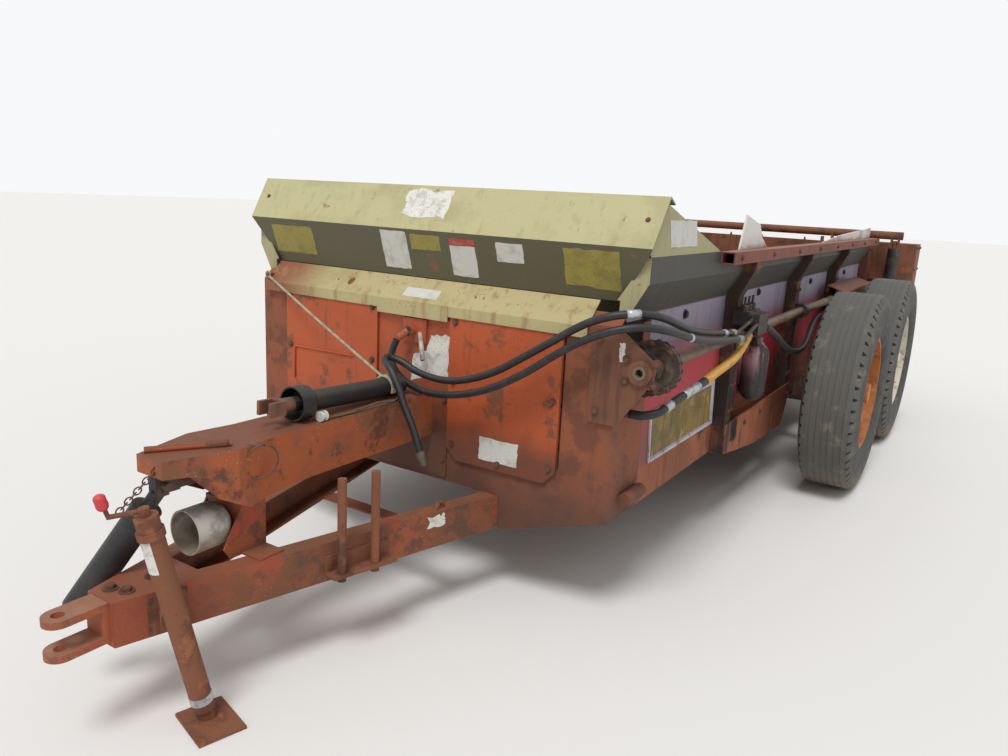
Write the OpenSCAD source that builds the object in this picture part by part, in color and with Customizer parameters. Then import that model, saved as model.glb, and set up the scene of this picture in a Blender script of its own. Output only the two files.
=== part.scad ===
// Tandem axle box manure spreader with a push panel, a lifting rear gate and two beaters.
// Millimetres. +Z up, the hitch points to -Y, the machine's left side is +X.
// The origin is on the ground, at the middle of the machine's length and width.
// Inside each module, y is measured back from the front face of the body.

/* [Body] */
// Width over the lower side panels
body_w = 1660; // [1560:10:1700]
// Length from the front face to the end of the side walls
box_len = 4370; // [4300:10:4700]
// Top of the floor above the ground
floor_z = 520; // [500:5:540]
// Height of the fold where the side walls start to flare
fold_z = 1085; // [1070:5:1100]
// Top of the rails above the ground
rail_top_z = 1285; // [1270:5:1300]
// How far the flare leans out
flare_out = 65; // [40:5:70]
// Height of the flare
flare_rise = 115; // [90:5:130]
// Thickness of the body sheets
sheet_t = 5; // [3:0.5:6]
// Width of a side rib
rib_w = 76; // [50:2:100]
// Depth of a side rib below the fold
rib_depth = 56; // [40:2:58]
// First rib, back from the front face
rib_first = 1100; // [1050:10:1150]
// Spacing of the ribs
rib_pitch = 1057; // [1000:1:1070]
// Number of ribs on a side
rib_count = 3; // [2:1:3]
// Height of the frame sills
sill_h = 136; // [120:2:140]
// Width of the frame sills
sill_w = 60; // [50:2:80]
// Depth of the drive housing in the front of the body
housing_depth = 250; // [220:5:280]
// Thickness of the wall liners
liner_t = 8; // [5:1:9]

/* [Hood] */
// Width of the hood at its top edge
hood_w = 1836; // [1820:2:1850]
// Width of the hood at its foot
hood_foot_w = 1588; // [1500:4:1620]
// Height of the hood's top edge
hood_top_z = 1473; // [1440:5:1500]
// Height of the hood's ridge
hood_ridge_z = 1313; // [1305:2:1330]
// Height of the hood's foot
hood_foot_z = 1135; // [1120:5:1150]
// Set back of the top edge from the ridge
hood_lean = 95; // [60:5:130]
// Length of the hood's end plates
hood_end_len = 725; // [600:5:800]

/* [Tongue] */
// Length of the tongue beams ahead of the body
tongue_len = 1267; // [1200:5:1300]
// Height of a tongue beam
beam_h = 127; // [110:1:140]
// Width of a tongue beam
beam_w = 60; // [50:2:70]
// Top of the tongue beams above the ground
beam_top_z = 384; // [380:2:384]
// Width over the tongue beams at the body
tongue_w = 788; // [740:4:820]
// Width over the tongue beams at the nose
nose_w = 110; // [104:2:120]
// Radius of the hitch pin hole
hitch_r = 16.5; // [12:0.5:20]
// Hitch pin hole, ahead of the tongue's nose
hitch_ahead = 108; // [104:1:120]
// Thickness of a clevis plate
clevis_t = 20; // [16:1:24]
// Gap between the clevis plates
clevis_gap = 72; // [60:1:80]

/* [Driveline] */
// Top of the driveline housing above the ground
duct_top_z = 722; // [710:2:730]
// Height of the driveline housing's sides
duct_h = 165; // [150:5:175]
// Width of the driveline housing
duct_w = 190; // [180:5:200]
// Radius of the drive shaft guards
guard_r = 42; // [36:1:46]

/* [Jack] */
// Outer radius of the jack tube
jack_r = 30; // [26:1:32]
// Lean of the jack, foot to the rear
jack_lean = 12; // [6:1:16]
// Height of the jack's pivot above the ground
jack_pivot_z = 320; // [310:2:330]
// Travel of the jack's leg
jack_travel = 250; // [150:10:300]

/* [Wheels] */
// Outside diameter of a tyre
tyre_d = 1050; // [1040:5:1060]
// Width of a tyre
tyre_w = 280; // [250:5:290]
// Seat diameter of a rim
rim_d = 572; // [508:2:590]
// Distance between the wheel planes
track = 2380; // [2370:2:2400]
// Middle of the walking beams, ahead of the rear of the side walls
bogie_back = 1525; // [1515:5:1535]
// Spacing of the two axles
axle_gap = 1240; // [1200:10:1260]
// Notches round each shoulder of a tyre
lug_count = 56; // [40:4:56]
// Radius of a wheel spindle
spindle_r = 35; // [30:1:40]

/* [Drive] */
// Height of the side drive shaft
side_shaft_z = 930; // [925:1:935]
// Radius of the side drive shaft
side_shaft_r = 22; // [18:1:22]
// Teeth of the chain sprockets
sprocket_teeth = 20; // [20:4:20]
// Pitch of the drive chain
chain_pitch = 25.4; // [25:0.1:25.6]

/* [Push panel] */
// Front face of the push panel at rest
panel_y = 800; // [795:5:810]
// Travel of the push panel
push_travel = 3320; // [3000:20:3320]
// Outer radius of the push cylinder's barrel
barrel_r = 85; // [80:1:88]

/* [Rear] */
// Lift of the rear gate
gate_lift = 650; // [500:10:680]
// Sweep radius of the lower beater
beater_low_r = 200; // [170:5:205]
// Sweep radius of the upper beater
beater_top_r = 170; // [140:5:175]
// Length of the beater frame behind the gate
rear_len = 594; // [580:2:620]

/* [Hidden] */

$fn = 48;
orange = "#b2492a";
rust = "#7b4630";
tan_paint = "#b8b07d";
grey_steel = "#8c8c86";
dark_steel = "#3c3733";
black = "#1c1c1e";
white = "#e6e6e2";
rubber = "#4a4a48";

// Places that the body sets
clevis_w = 78;
hitch_reach = tongue_len + hitch_ahead;
face_y = (hitch_reach + clevis_w / 2 - box_len - rear_len) / 2;
hw = body_w / 2;
sill_z = floor_z - sill_h;
lip_x = hw + flare_out;
lip_z = fold_z + flare_rise;
rail_w = 55;
rail_h = 48;
rail_x = lip_x + rail_w;
rib_x = hw + rib_depth;
liner_x = hw - sheet_t - liner_t;
wheel_x = track / 2;
bogie_y = box_len - bogie_back;
axle_y = bogie_y - axle_gap / 2;
hub_z = tyre_d / 2;
shaft_x = rib_x + 30;
run_gap = 0.06;
seat = 0.3;

module from_face() translate([0, face_y, 0]) children();
module along_y(y0, y1) translate([0, y1, 0]) rotate([90, 0, 0]) linear_extrude(y1 - y0) children();
module along_x(x0, x1) translate([x0, 0, 0]) rotate([90, 0, 90]) linear_extrude(x1 - x0) children();
module along_z(z0, z1) translate([0, 0, z0]) linear_extrude(z1 - z0) children();
module block(x0, x1, y0, y1, z0, z1) translate([x0, y0, z0]) cube([x1 - x0, y1 - y0, z1 - z0]);
module rod_x(x0, x1, y, z, r) translate([x0, y, z]) rotate([0, 90, 0]) cylinder(r = r, h = x1 - x0);
module rod_y(x, y0, y1, z, r) translate([x, y0, z]) rotate([-90, 0, 0]) cylinder(r = r, h = y1 - y0);
module rod_z(x, y, z0, z1, r) translate([x, y, z0]) cylinder(r = r, h = z1 - z0);
module both_sides() {
  children();
  mirror([1, 0, 0]) children();
}
// A bar of round section from one point to another
module rod(a, b, r) {
  d = b - a;
  translate(a) rotate([0, acos(d.z / norm(d)), atan2(d.y, d.x)]) cylinder(r = r, h = norm(d));
}
function reverse(p) = [for (i = [len(p) - 1:-1:0]) p[i]];
function arc(c, r, a0, a1, n) = [for (i = [0:n]) c + r * [cos(a0 + (a1 - a0) * i / n), sin(a0 + (a1 - a0) * i / n)]];

// The side wall's outline in x and z, moved out by a distance
function wall_line(out, z0, z1) = [
  [hw + out, z0], [hw + out, fold_z], [lip_x + out, lip_z], [lip_x + out, z1]
];
function wall_sheet(out, t, z0, z1) = concat(wall_line(out, z0, z1), reverse(wall_line(out - t, z0, z1)));

// Tongue

beam_angle = atan((tongue_w - nose_w) / 2 / tongue_len);
beam_len = (tongue_len + 300) / cos(beam_angle);
beam_web = 8;
beam_bottom_z = beam_top_z - beam_h;
function beam_face_x(y) = nose_w / 2 + (y + tongue_len) * tan(beam_angle);

module beam_place(y) translate([beam_face_x(y), y, 0]) rotate([0, 0, -beam_angle]) children();

module tongue_beam() beam_place(-tongue_len) along_y(0, beam_len)
  polygon([
    [0, beam_bottom_z], [0, beam_top_z], [-beam_w, beam_top_z], [-beam_w, beam_top_z - beam_web],
    [-beam_web, beam_top_z - beam_web], [-beam_web, beam_bottom_z + beam_web],
    [-beam_w, beam_bottom_z + beam_web], [-beam_w, beam_bottom_z]
  ]);

nose_plate_len = 250;
module nose_plate(z) {
  w0 = nose_w / 2 - 1;
  w1 = beam_face_x(-tongue_len + nose_plate_len) - 1;
  translate([0, -tongue_len, z]) linear_extrude(beam_web)
    polygon([[-w0, 0], [w0, 0], [w1, nose_plate_len], [-w1, nose_plate_len]]);
}

module tongue_frame() color(orange) from_face() {
  tongue_beam();
  mirror([1, 0, 0]) tongue_beam();
  nose_plate(beam_top_z - beam_web);
  nose_plate(beam_bottom_z);
  block(-nose_w / 2 + 2, nose_w / 2 - 2, -tongue_len, -tongue_len + beam_web, beam_bottom_z + 1, beam_top_z - 1);
  tie = beam_face_x(-170) - beam_web / 2;
  block(-tie, tie, -200, -140, beam_bottom_z, beam_bottom_z + beam_web);
  lug_x = beam_face_x(-225) - 30;
  difference() {
    along_x(lug_x, lug_x + 10) polygon([[-250, beam_top_z - 1], [-240, beam_top_z + 26], [-212, beam_top_z + 26], [-200, beam_top_z - 1]]);
    rod_x(lug_x - 1, lug_x + 11, -226, beam_top_z + 12, 6);
  }
}

clevis_top_z = beam_top_z - 2;
clevis_low_z = clevis_top_z - clevis_t - clevis_gap - clevis_t;
module clevis_plate(z) {
  translate([0, 0, z]) linear_extrude(clevis_t) difference() {
    union() {
      translate([0, -hitch_reach]) circle(r = clevis_w / 2);
      translate([-clevis_w / 2, -hitch_reach]) square([clevis_w, hitch_reach - tongue_len - seat]);
    }
    translate([0, -hitch_reach]) circle(r = hitch_r);
  }
}

module hitch_clevis() color(rust) from_face() {
  clevis_plate(clevis_low_z);
  clevis_plate(clevis_low_z + clevis_t + clevis_gap);
  block(-clevis_w / 2, clevis_w / 2, -tongue_len - 16, -tongue_len - seat, clevis_low_z + 1, clevis_top_z - 1);
}

// Two upright rods in a small bracket on the left beam
stand_y = 627 - tongue_len;
rod_h = 310;
module rod_stand() color(rust) from_face() beam_place(stand_y) {
  block(0, 58, -40, 190, beam_bottom_z + 25, beam_bottom_z + 33);
  block(0, 6, -40, 190, beam_bottom_z + 25, beam_bottom_z + 85);
  for (y = [0, 120]) rod_z(34, y, beam_bottom_z + 6, beam_bottom_z + 30 + rod_h, 14);
}

// Driveline

duct_nose_y = 157 - tongue_len;
duct_shoulder_y = duct_nose_y + 350;
duct_bulge_y = duct_nose_y + 200;
duct_bulge = 20;
duct_end_y = -5 - seat;
joint_y = duct_nose_y + 30;
joint_z = 640;
input_r = 20;
duct_nose_w = 110;
duct_bottom_z = duct_top_z - duct_h;
// The side of the housing, along y and z: deep at the body, cut away under the nose
function duct_side(inner) = [
  [duct_end_y, duct_bottom_z - inner], [duct_end_y, duct_top_z - inner], [duct_nose_y, duct_top_z - inner],
  [duct_nose_y, duct_top_z - 50 - inner], [duct_nose_y + 70, duct_top_z - 55 - inner], [duct_nose_y + 145, duct_top_z - 135 - inner],
  [duct_nose_y + 240, duct_bottom_z - 20 - inner], [duct_nose_y + 410, duct_bottom_z - inner]
];
function duct_plan(w, t) = [
  [-w / 2 + t, duct_end_y], [w / 2 - t, duct_end_y], [w / 2 - t, duct_shoulder_y], [w / 2 + duct_bulge - t, duct_bulge_y],
  [duct_nose_w / 2 - t, duct_nose_y + t / 2], [-duct_nose_w / 2 + t, duct_nose_y + t / 2],
  [-w / 2 - duct_bulge + t, duct_bulge_y], [-w / 2 + t, duct_shoulder_y]
];
module driveline_housing() color(orange) from_face() {
  difference() {
    intersection() {
      along_x(-duct_w / 2 - duct_bulge, duct_w / 2 + duct_bulge) polygon(duct_side(0));
      along_z(0, duct_top_z + 1) polygon(duct_plan(duct_w, 0));
    }
    intersection() {
      along_x(-duct_w, duct_w) polygon([[1, 0], [1, duct_top_z - sheet_t], [duct_nose_y - 1, duct_top_z - sheet_t], [duct_nose_y - 1, 0]]);
      along_z(0, duct_top_z) polygon(duct_plan(duct_w, sheet_t));
    }
  }
  difference() {
    block(-duct_w / 2 + 1, duct_w / 2 - 1, duct_shoulder_y + 20, duct_shoulder_y + 32, duct_bottom_z, duct_top_z - 1);
    rod_y(0, duct_shoulder_y, duct_shoulder_y + 50, joint_z, input_r + run_gap);
  }
  rod([-48, duct_nose_y + 18, duct_top_z + 8], [70, duct_bulge_y + 10, duct_top_z + 8], 9);
}

post_y = duct_nose_y + 230;
module housing_post() color(orange) from_face() {
  top = duct_bottom_z - 20;
  x1 = duct_w / 2 - 16;
  both_sides() block(x1 - 6, x1, post_y, post_y + 90, beam_top_z + seat, top);
  block(-x1, x1, post_y + 84, post_y + 90, beam_top_z + seat, top);
  block(-x1, x1, post_y, post_y + 90, top - 6, top);
  block(-x1, x1, post_y, post_y + 6, beam_top_z + 56, top);
  both_sides() block(x1 - 6, beam_face_x(post_y) - 2, post_y, post_y + 90, beam_top_z + seat, beam_top_z + 6);
  both_sides() along_x(x1 - 6, x1) polygon([[post_y - 62, beam_top_z + 34], [post_y + 1, top - 10], [post_y + 1, beam_top_z + seat], [post_y - 40, beam_top_z + seat]]);
}

module driveline_bell() color(grey_steel) from_face()
  translate([0, post_y - seat, beam_top_z + 90]) rotate([90, 0, 0]) rotate_extrude()
    polygon(concat([[0, 0], [22, 0]], arc([22, 45], 45, -90, 0, 8), [[67, 130], [62, 130], [62, 50], [22, 8], [0, 8]]));

module universal_joint() {
  rod_y(0, joint_y + 30, joint_y + 95, joint_z, 24);
  both_sides() block(14, 24, joint_y - 4, joint_y + 45, joint_z - 20, joint_z + 20);
  rod_x(-38, 38, joint_y, joint_z, 12);
  block(-16, 16, joint_y - 24, joint_y + 16, joint_z - 30, joint_z + 30);
}

// The shaft in the housing, with the middle sprocket behind the front panel
module input_shaft() color(dark_steel) from_face() {
  rod_y(0, joint_y + 95 + seat, sprocket_y + 20, joint_z, input_r);
  translate([0, sprocket_y, joint_z]) sprocket();
  rod_y(0, 30, sprocket_y + 18, joint_z, 34);
}

module pto_lower_half() color(black) from_face() {
  universal_joint();
  a = [0, joint_y - 8, joint_z - 20];
  b = [-215, joint_y - 150, 240];
  rod(a, b, 20);
  translate(a) rod([0, 0, 0] + 0.12 * (b - a), 0.93 * (b - a), guard_r);
}

store_r = guard_r - 8;
store_bell = 56;
store_tilt = 2.7;
store_y = duct_nose_y + 480;
store_z = duct_top_z + store_bell + 55 * sin(store_tilt) + seat;
function store_axis_z(y) = store_z - (y - store_y) * sin(store_tilt);
module pto_upper_half() color(black) from_face()
  translate([20, store_y, store_z]) rotate([-store_tilt, 0, 0]) {
    rod_y(0, 60, 520, 0, store_r);
    rotate([-90, 0, 0]) rotate_extrude() polygon([[0, 50], [store_bell - 5, 50], [store_bell - 5, 0], [store_bell, 0], [store_bell, 55], [store_r, 80], [0, 80]]);
    rod_y(0, -60, 55, 0, 24);
    both_sides() block(20, 32, -110, -50, -22, 22);
    block(-32, 32, -62, -50, -22, 22);
  }

// Jack: x runs out from the beam's face, y back along the beam

jack_off = jack_r + 42;
jack_y = 132 - tongue_len;
jack_top = 320;
jack_low = 285;
jack_foot_in = 62;
jack_foot_out = 105;
jack_foot_t = 10;
module jack_place() beam_place(jack_y) translate([jack_off, 0, jack_pivot_z]) rotate([jack_lean, 0, 0]) children();
jack_leg_len = (jack_pivot_z - jack_foot_t / 2) / cos(jack_lean);

module jack_bracket() color(rust) from_face() beam_place(jack_y) {
  block(0, 8, -52, 52, jack_pivot_z - 55, jack_pivot_z + 55);
  rod_x(0, jack_off - jack_r - 5.5, 0, jack_pivot_z, 26);
}

module jack_tube() color(rust) from_face() jack_place() {
  difference() {
    rod_z(0, 0, -jack_low, jack_top, jack_r);
    rod_z(0, 0, -jack_low - 1, jack_top - 20, jack_r - 5);
  }
  rod_x(-jack_r - 5, -jack_r + 3, 0, 0, 34);
  rod_z(0, 0, jack_top - 60, jack_top - 40, jack_r + 5);
  rod([0, 0, jack_top - 2], [0, 0, jack_top + 22], 14);
  rod([0, 0, jack_top + 14], [-21, -80, jack_top + 25], 6.5);
  rod([-20, -76, jack_top + 20], [-24, -82, jack_top + 82], 5.5);
}

module jack_leg() color(grey_steel) from_face() {
  jack_place() rod_z(0, 0, -jack_leg_len, 140 + jack_travel - jack_low, jack_r - 6);
  beam_place(jack_y) translate([jack_off, jack_pivot_z * tan(jack_lean), 0])
    block(-jack_foot_in, jack_foot_out, -65, 65, 0, jack_foot_t);
}

// Front of the body

front_t = 6;
apron_low_z = beam_bottom_z - 4;
post_x = 640;
ledge_z = 1052;
pan_depth = 14;
ledge_rise = (hood_foot_z - 6 - ledge_z) / (66 + pan_depth);
function ledge_under(y) = ledge_z - 3 + (y + pan_depth) * ledge_rise - 2.2;
window_z0 = 800;
window_z1 = 1046;
post_top_z = window_z1 + 12;

fit_y = 80;
fit_z = 765;
module front_frame() color(rust) from_face() {
  rod_y(hw + 22, 90, 235, sill_z + 70, 24);
  rod_x(hw - 1, hw + 20, fit_y, fit_z, 17);
  along_y(0, front_t) polygon([
    [-hw, sill_z + 4], [-tongue_w / 2 - 12, apron_low_z], [-tongue_w / 2 - 12, beam_top_z + seat],
    [tongue_w / 2 + 12, beam_top_z + seat], [tongue_w / 2 + 12, apron_low_z], [hw, sill_z + 4], [hw, floor_z + 20], [-hw, floor_z + 20]
  ]);
  both_sides() block(post_x, hw, 0, front_t, floor_z, post_top_z);
  block(hw - front_t, hw, 0, housing_depth, sill_z + 4, window_z0);
  block(hw - front_t, hw, housing_depth - 60, housing_depth, window_z0 - 1, post_top_z);
  block(-hw, -hw + front_t, 0, housing_depth, sill_z + 4, post_top_z);
  along_x(-hw + 1, hw - 1) polygon([
    [0, window_z1], [0, ledge_under(0)], [40, ledge_under(40)], [40, ledge_under(40) - 6], [6, ledge_under(6) - 6], [6, window_z1]
  ]);
}

function cover_outline(x0, x1, z0, z1, cut) = [
  [x0, z1], [x0, z0 + cut], [x0 + cut, z0], [x1 - cut, z0], [x1, z0 + cut], [x1, z1]
];
module cover_pan(x0, x1, z0, z1, cut) difference() {
  along_y(-pan_depth, -seat) polygon(cover_outline(x0, x1, z0, z1, cut));
  along_y(-pan_depth + sheet_t, 1) polygon(cover_outline(x0 + sheet_t, x1 - sheet_t, z0 + sheet_t, z1 - sheet_t, cut * 0.95));
}
cover_z0 = 482;
cover_z1 = 1018;
module covers() color(orange) from_face() {
  cover_pan(168, 634, cover_z0, cover_z1, 46);
  cover_pan(-680, -180, cover_z0 + 50, cover_z1 + 10, 46);
}

module centre_panel() color(orange) from_face() {
  difference() {
    along_y(-5, -seat) polygon([[-176, 400], [164, 400], [164, 1044], [-176, 1044]]);
    rod_y(0, -10, 30, joint_z, input_r + run_gap);
  }
  difference() {
    rod_y(0, -2, 24, joint_z, 46);
    rod_y(0, -10, 30, joint_z, input_r + run_gap);
  }
  block(-50, 60, -16, -4, 900, 990);
  rod_y(-5, -42, -10, 945, 20);
  rod([-5, -42, 945], [-26.8, -68, 919.4], 13);
  rod([30, -12, 940], [75, -50, 845], 7);
}

ledge_x0 = -800;
ledge_x1 = 720;
hood_ridge_y = 5;
hood_foot_y = 66;
ledge_holes = [[-350, 15], [-420, 5], [250, 5], [285, 5]];
module ledge() color(tan_paint) from_face() difference() {
  ledge_sheet();
  for (h = ledge_holes) translate([h[0], 24, ledge_z - 60]) cylinder(r = h[1], h = 120);
}
stud = [-784, -20, 1080];
stud_r = 6;
module ledge_sheet() {
  rod_y(stud.x, stud.y - 10, 12, stud.z, stud_r);
  along_x(ledge_x0, ledge_x1) polygon([
    [-20, ledge_z - 38], [-20, ledge_z], [hood_foot_y - seat, hood_foot_z - 3], [hood_foot_y - seat, hood_foot_z - 9],
    [-pan_depth - seat, ledge_z - 3], [-pan_depth - seat, ledge_z - 38]
  ]);
  block(-172, 160, -25, -19, ledge_z - 56, ledge_z - 2);
}

hood_t = 4;
hood_top_y = hood_ridge_y + hood_lean;
// The hood's section along y and z, then its outline seen from the front
hood_section = [
  [hood_foot_y, hood_foot_z], [hood_ridge_y, hood_ridge_z], [hood_top_y, hood_top_z], [hood_top_y + 45, hood_top_z - 22],
  [hood_top_y + 43, hood_top_z - 22 - hood_t], [hood_top_y + 1, hood_top_z - 2 * hood_t], [hood_ridge_y + hood_t * 1.2, hood_ridge_z], [hood_foot_y + hood_t, hood_foot_z]
];
hood_front = [
  [hood_foot_w / 2, hood_foot_z - 1], [hood_w / 2 - 8, hood_ridge_z], [hood_w / 2, hood_top_z + 1]
];
module hood() color(tan_paint) from_face() {
  intersection() {
    along_x(-hood_w, hood_w) polygon(hood_section);
    along_y(0, hood_top_y + 60) polygon(concat(hood_front, reverse([for (p = hood_front) [-p.x, p.y]])));
  }
  wing_x = 801;
  both_sides() along_y(40.6, 44.6) polygon([
    [wing_x, fold_z - 6], [wing_x, hood_foot_z + 6], [hood_foot_w / 2 - 4, hood_foot_z + 6], [lip_x - 12, rail_top_z - 2],
    [lip_x - 0.5, rail_top_z - 2], [lip_x - 0.5, lip_z], [hw - 0.5, fold_z], [hw - 0.5, fold_z - 6]
  ]);
  end_x = lip_x - 4.5;
  both_sides() along_x(end_x, end_x + hood_t) polygon([
    [hood_ridge_y + 4, hood_ridge_z], [hood_top_y, hood_top_z - 4], [hood_top_y + 40, hood_top_z - 22], [hood_end_len, rail_top_z + seat],
    [hood_ridge_y + 35, rail_top_z + seat]
  ]);
}

// Side walls: the lower panel starts behind the drive housing, the flare starts at the hood
module side_wall() {
  along_y(housing_depth + seat, box_len) polygon(wall_sheet(0, sheet_t, floor_z, rail_top_z));
  along_y(45, housing_depth + 1) polygon([
    [hw, fold_z - 12], [hw, fold_z], [lip_x, lip_z], [lip_x, rail_top_z],
    [lip_x - sheet_t, rail_top_z], [lip_x - sheet_t, lip_z], [hw - sheet_t, fold_z], [hw - sheet_t, fold_z - 12]
  ]);
}
module side_walls() color(grey_steel) from_face() both_sides() side_wall();

rail_z = rail_top_z - rail_h;
module rib() {
  top_z = rail_z - seat;
  outer = [[rib_x, sill_z], [rib_x, fold_z], [rail_x - 4, lip_z + 10], [rail_x - 4, top_z]];
  inner = [[hw, sill_z], [hw, fold_z], [lip_x, lip_z], [lip_x, top_z]];
  difference() {
    along_y(-rib_w / 2, rib_w / 2) polygon(concat(outer, reverse(inner)));
    along_y(-rib_w / 2 + 6, rib_w / 2 - 6) polygon(concat(
      [for (p = outer) p - [6, 0]], [[lip_x - 1, top_z], [lip_x - 1, lip_z], [hw - 1, fold_z], [hw - 1, sill_z]]
    ));
  }
}
module ribs() color(dark_steel) from_face()
  both_sides() for (i = [0:rib_count - 1]) translate([0, rib_first + i * rib_pitch, 0]) rib();

module top_rails() color(rust) from_face() both_sides() difference() {
  block(lip_x, rail_x, hood_end_len + 6, box_len, rail_z, rail_top_z);
  block(lip_x + 5, rail_x - 5, hood_end_len + 5, box_len + 1, rail_z + 5, rail_top_z - 5);
}

// Blank sign with a raised rim, on the left wall
sign_rim = 12;
module side_sign() color(white) from_face() {
  along_x(hw + seat, hw + 3) polygon([[330, floor_z + 2], [1045, floor_z + 2], [1020, 722], [310, 722]]);
  difference() {
    along_x(hw + 2, hw + 7) polygon([[330, floor_z + 2], [1045, floor_z + 2], [1020, 722], [310, 722]]);
    along_x(hw + 1, hw + 8) polygon([
      [330 + sign_rim, floor_z + 2 + sign_rim], [1045 - sign_rim, floor_z + 2 + sign_rim], [1020 - sign_rim, 722 - sign_rim], [310 + sign_rim, 722 - sign_rim]
    ]);
  }
}

// Frame

sill_web = 8;
// Cross members: distance back from the face, depth below the floor
cross_table = [
  [270, floor_z - beam_top_z - seat], [760, 90], [1500, 90], [2250, 90], [2700, 90], [2990, 90], [box_len - 670, 90], [box_len - 70, 90]
];
module sill() along_y(front_t + seat, box_len) polygon([
  [hw, sill_z], [hw, floor_z - seat], [hw - sill_w, floor_z - seat], [hw - sill_w, floor_z - seat - sill_web],
  [hw - sill_web, floor_z - seat - sill_web], [hw - sill_web, sill_z + sill_web], [hw - sill_w, sill_z + sill_web], [hw - sill_w, sill_z]
]);
module main_frame() color(rust) from_face() {
  inner = hw - sill_web + 1;
  difference() {
    union() {
      sill();
      mirror([1, 0, 0]) sill();
      for (c = cross_table) block(-inner, inner, c[0] - 30, c[0] + 30, floor_z - c[1], floor_z - seat - 1);
    }
    both_sides() block(hw - front_t - seat, hw + 1, 0, housing_depth + seat, sill_z - 1, floor_z);
  }
}
module floor() color("#5a4632") from_face()
  block(-hw + sheet_t + seat, hw - sheet_t - seat, housing_depth + 10, box_len, floor_z, floor_z + 6);

push_z = 880;
module bulkhead() color(grey_steel) from_face() difference() {
  along_y(housing_depth + seat, housing_depth + 6) polygon(concat(
    [for (p = wall_line(-sheet_t - seat, floor_z + 6 + seat, rail_top_z - 10)) p],
    [for (p = reverse(wall_line(-sheet_t - seat, floor_z + 6 + seat, rail_top_z - 10))) [-p.x, p.y]]
  ));
  rod_y(0, housing_depth - 1, housing_depth + 10, push_z, barrel_r + 4);
}

// Wall liners, with two torn flaps that stand above the left rail
liner_y0 = housing_depth + 20;
module liner() along_y(liner_y0, box_len - 20)
  polygon(wall_sheet(-sheet_t - seat, liner_t, floor_z + 6 + seat, rail_top_z - 6));
module liners() color(white) from_face() {
  liner();
  mirror([1, 0, 0]) liner();
  fx = lip_x - sheet_t - seat;
  along_x(fx - liner_t, fx) polygon([[980, rail_top_z - 8], [1040, 1425], [1250, 1385], [1300, 1330], [1420, rail_top_z - 8]]);
  along_x(fx - liner_t, fx) polygon([[2500, rail_top_z - 8], [3100, 1318], [4280, 1360], [4280, rail_top_z - 8]]);
}

skirt_y0 = rib_first - rib_w / 2;
skirt_y1 = rib_first + rib_pitch + rib_w / 2;
module skirt_plates() color(rust) from_face() both_sides() difference() {
  along_x(rib_x + seat, rib_x + 8) polygon([
    [skirt_y0, floor_z], [skirt_y0, sill_z], [skirt_y0 + 493, sill_z - 67], [skirt_y1 - 90, sill_z - 89], [skirt_y1, sill_z + 28], [skirt_y1, floor_z]
  ]);
  for (y = [skirt_y1 - 370, skirt_y1 - 310]) block(rib_x, rib_x + 9, y - 4, y + 4, sill_z - 26, sill_z + 38);
}

// Running gear: a cross tube under the sills carries a walking beam on each side

axle_tube_r = 48;
axle_tube_z = sill_z - axle_tube_r - 2;
bogie_x0 = 930;
bogie_x1 = 1010;
module axle_tube() color(rust) from_face() {
  rod_x(-bogie_x0 + 4, bogie_x0 - 4, bogie_y, axle_tube_z, axle_tube_r);
  rod_x(-bogie_x1 - 14, bogie_x1 + 14, bogie_y, axle_tube_z, 30);
  both_sides() rod_x(bogie_x1 + 2, bogie_x1 + 14, bogie_y, axle_tube_z, 44);
  both_sides() difference() {
    block(hw - sill_w, hw, bogie_y - 90, bogie_y + 90, axle_tube_z, sill_z - seat);
    rod_x(hw - sill_w - 1, hw + 1, bogie_y, axle_tube_z, axle_tube_r - 2);
  }
}

module bogie_beams() color(rust) from_face() both_sides() {
  difference() {
    along_x(bogie_x0, bogie_x1) polygon([
      [axle_y - 75, hub_z - 60], [axle_y - 75, hub_z + 55], [axle_y + 70, hub_z + 55],
      [bogie_y, axle_tube_z + 110], [axle_y + axle_gap - 70, hub_z + 55], [axle_y + axle_gap + 75, hub_z + 55],
      [axle_y + axle_gap + 75, hub_z - 60], [bogie_y + 90, axle_tube_z - 60], [bogie_y - 90, axle_tube_z - 60]
    ]);
    rod_x(bogie_x0 - 1, bogie_x1 + 1, bogie_y, axle_tube_z, 30 + run_gap);
  }
  for (y = [axle_y, axle_y + axle_gap]) {
    rod_x(bogie_x1 - 2, bogie_x1 + 24, y, hub_z, 58);
    rod_x(bogie_x1 + 20, wheel_x + 60, y, hub_z, spindle_r);
  }
}

// A tyre's half section: distance from the hub, then distance across from the wheel plane
tyre_half_w = tyre_w / 2;
bead_x = tyre_half_w - 34 - seat;
wall_mid = (rim_d + tyre_d) / 4;
wall_h = (tyre_d - rim_d) / 4 - 8;
tyre_half = concat(
  [[rim_d / 2 + 2, 0], [rim_d / 2 + 2, bead_x], [rim_d / 2 + 14 + seat, bead_x]],
  [for (p = arc([0, 0], 1, -70, 50, 8)) [wall_mid + wall_h * p.y, tyre_half_w - 34 + 34 * p.x]],
  [[tyre_d / 2 - 6, tyre_half_w - 26], [tyre_d / 2 - 1, tyre_half_w - 48]],
  [for (x = [72, 40, 8]) each [[tyre_d / 2, x + 12], [tyre_d / 2 - 3, x + 10], [tyre_d / 2 - 3, x + 2], [tyre_d / 2, x]]],
  [[tyre_d / 2, 0]]
);
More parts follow.
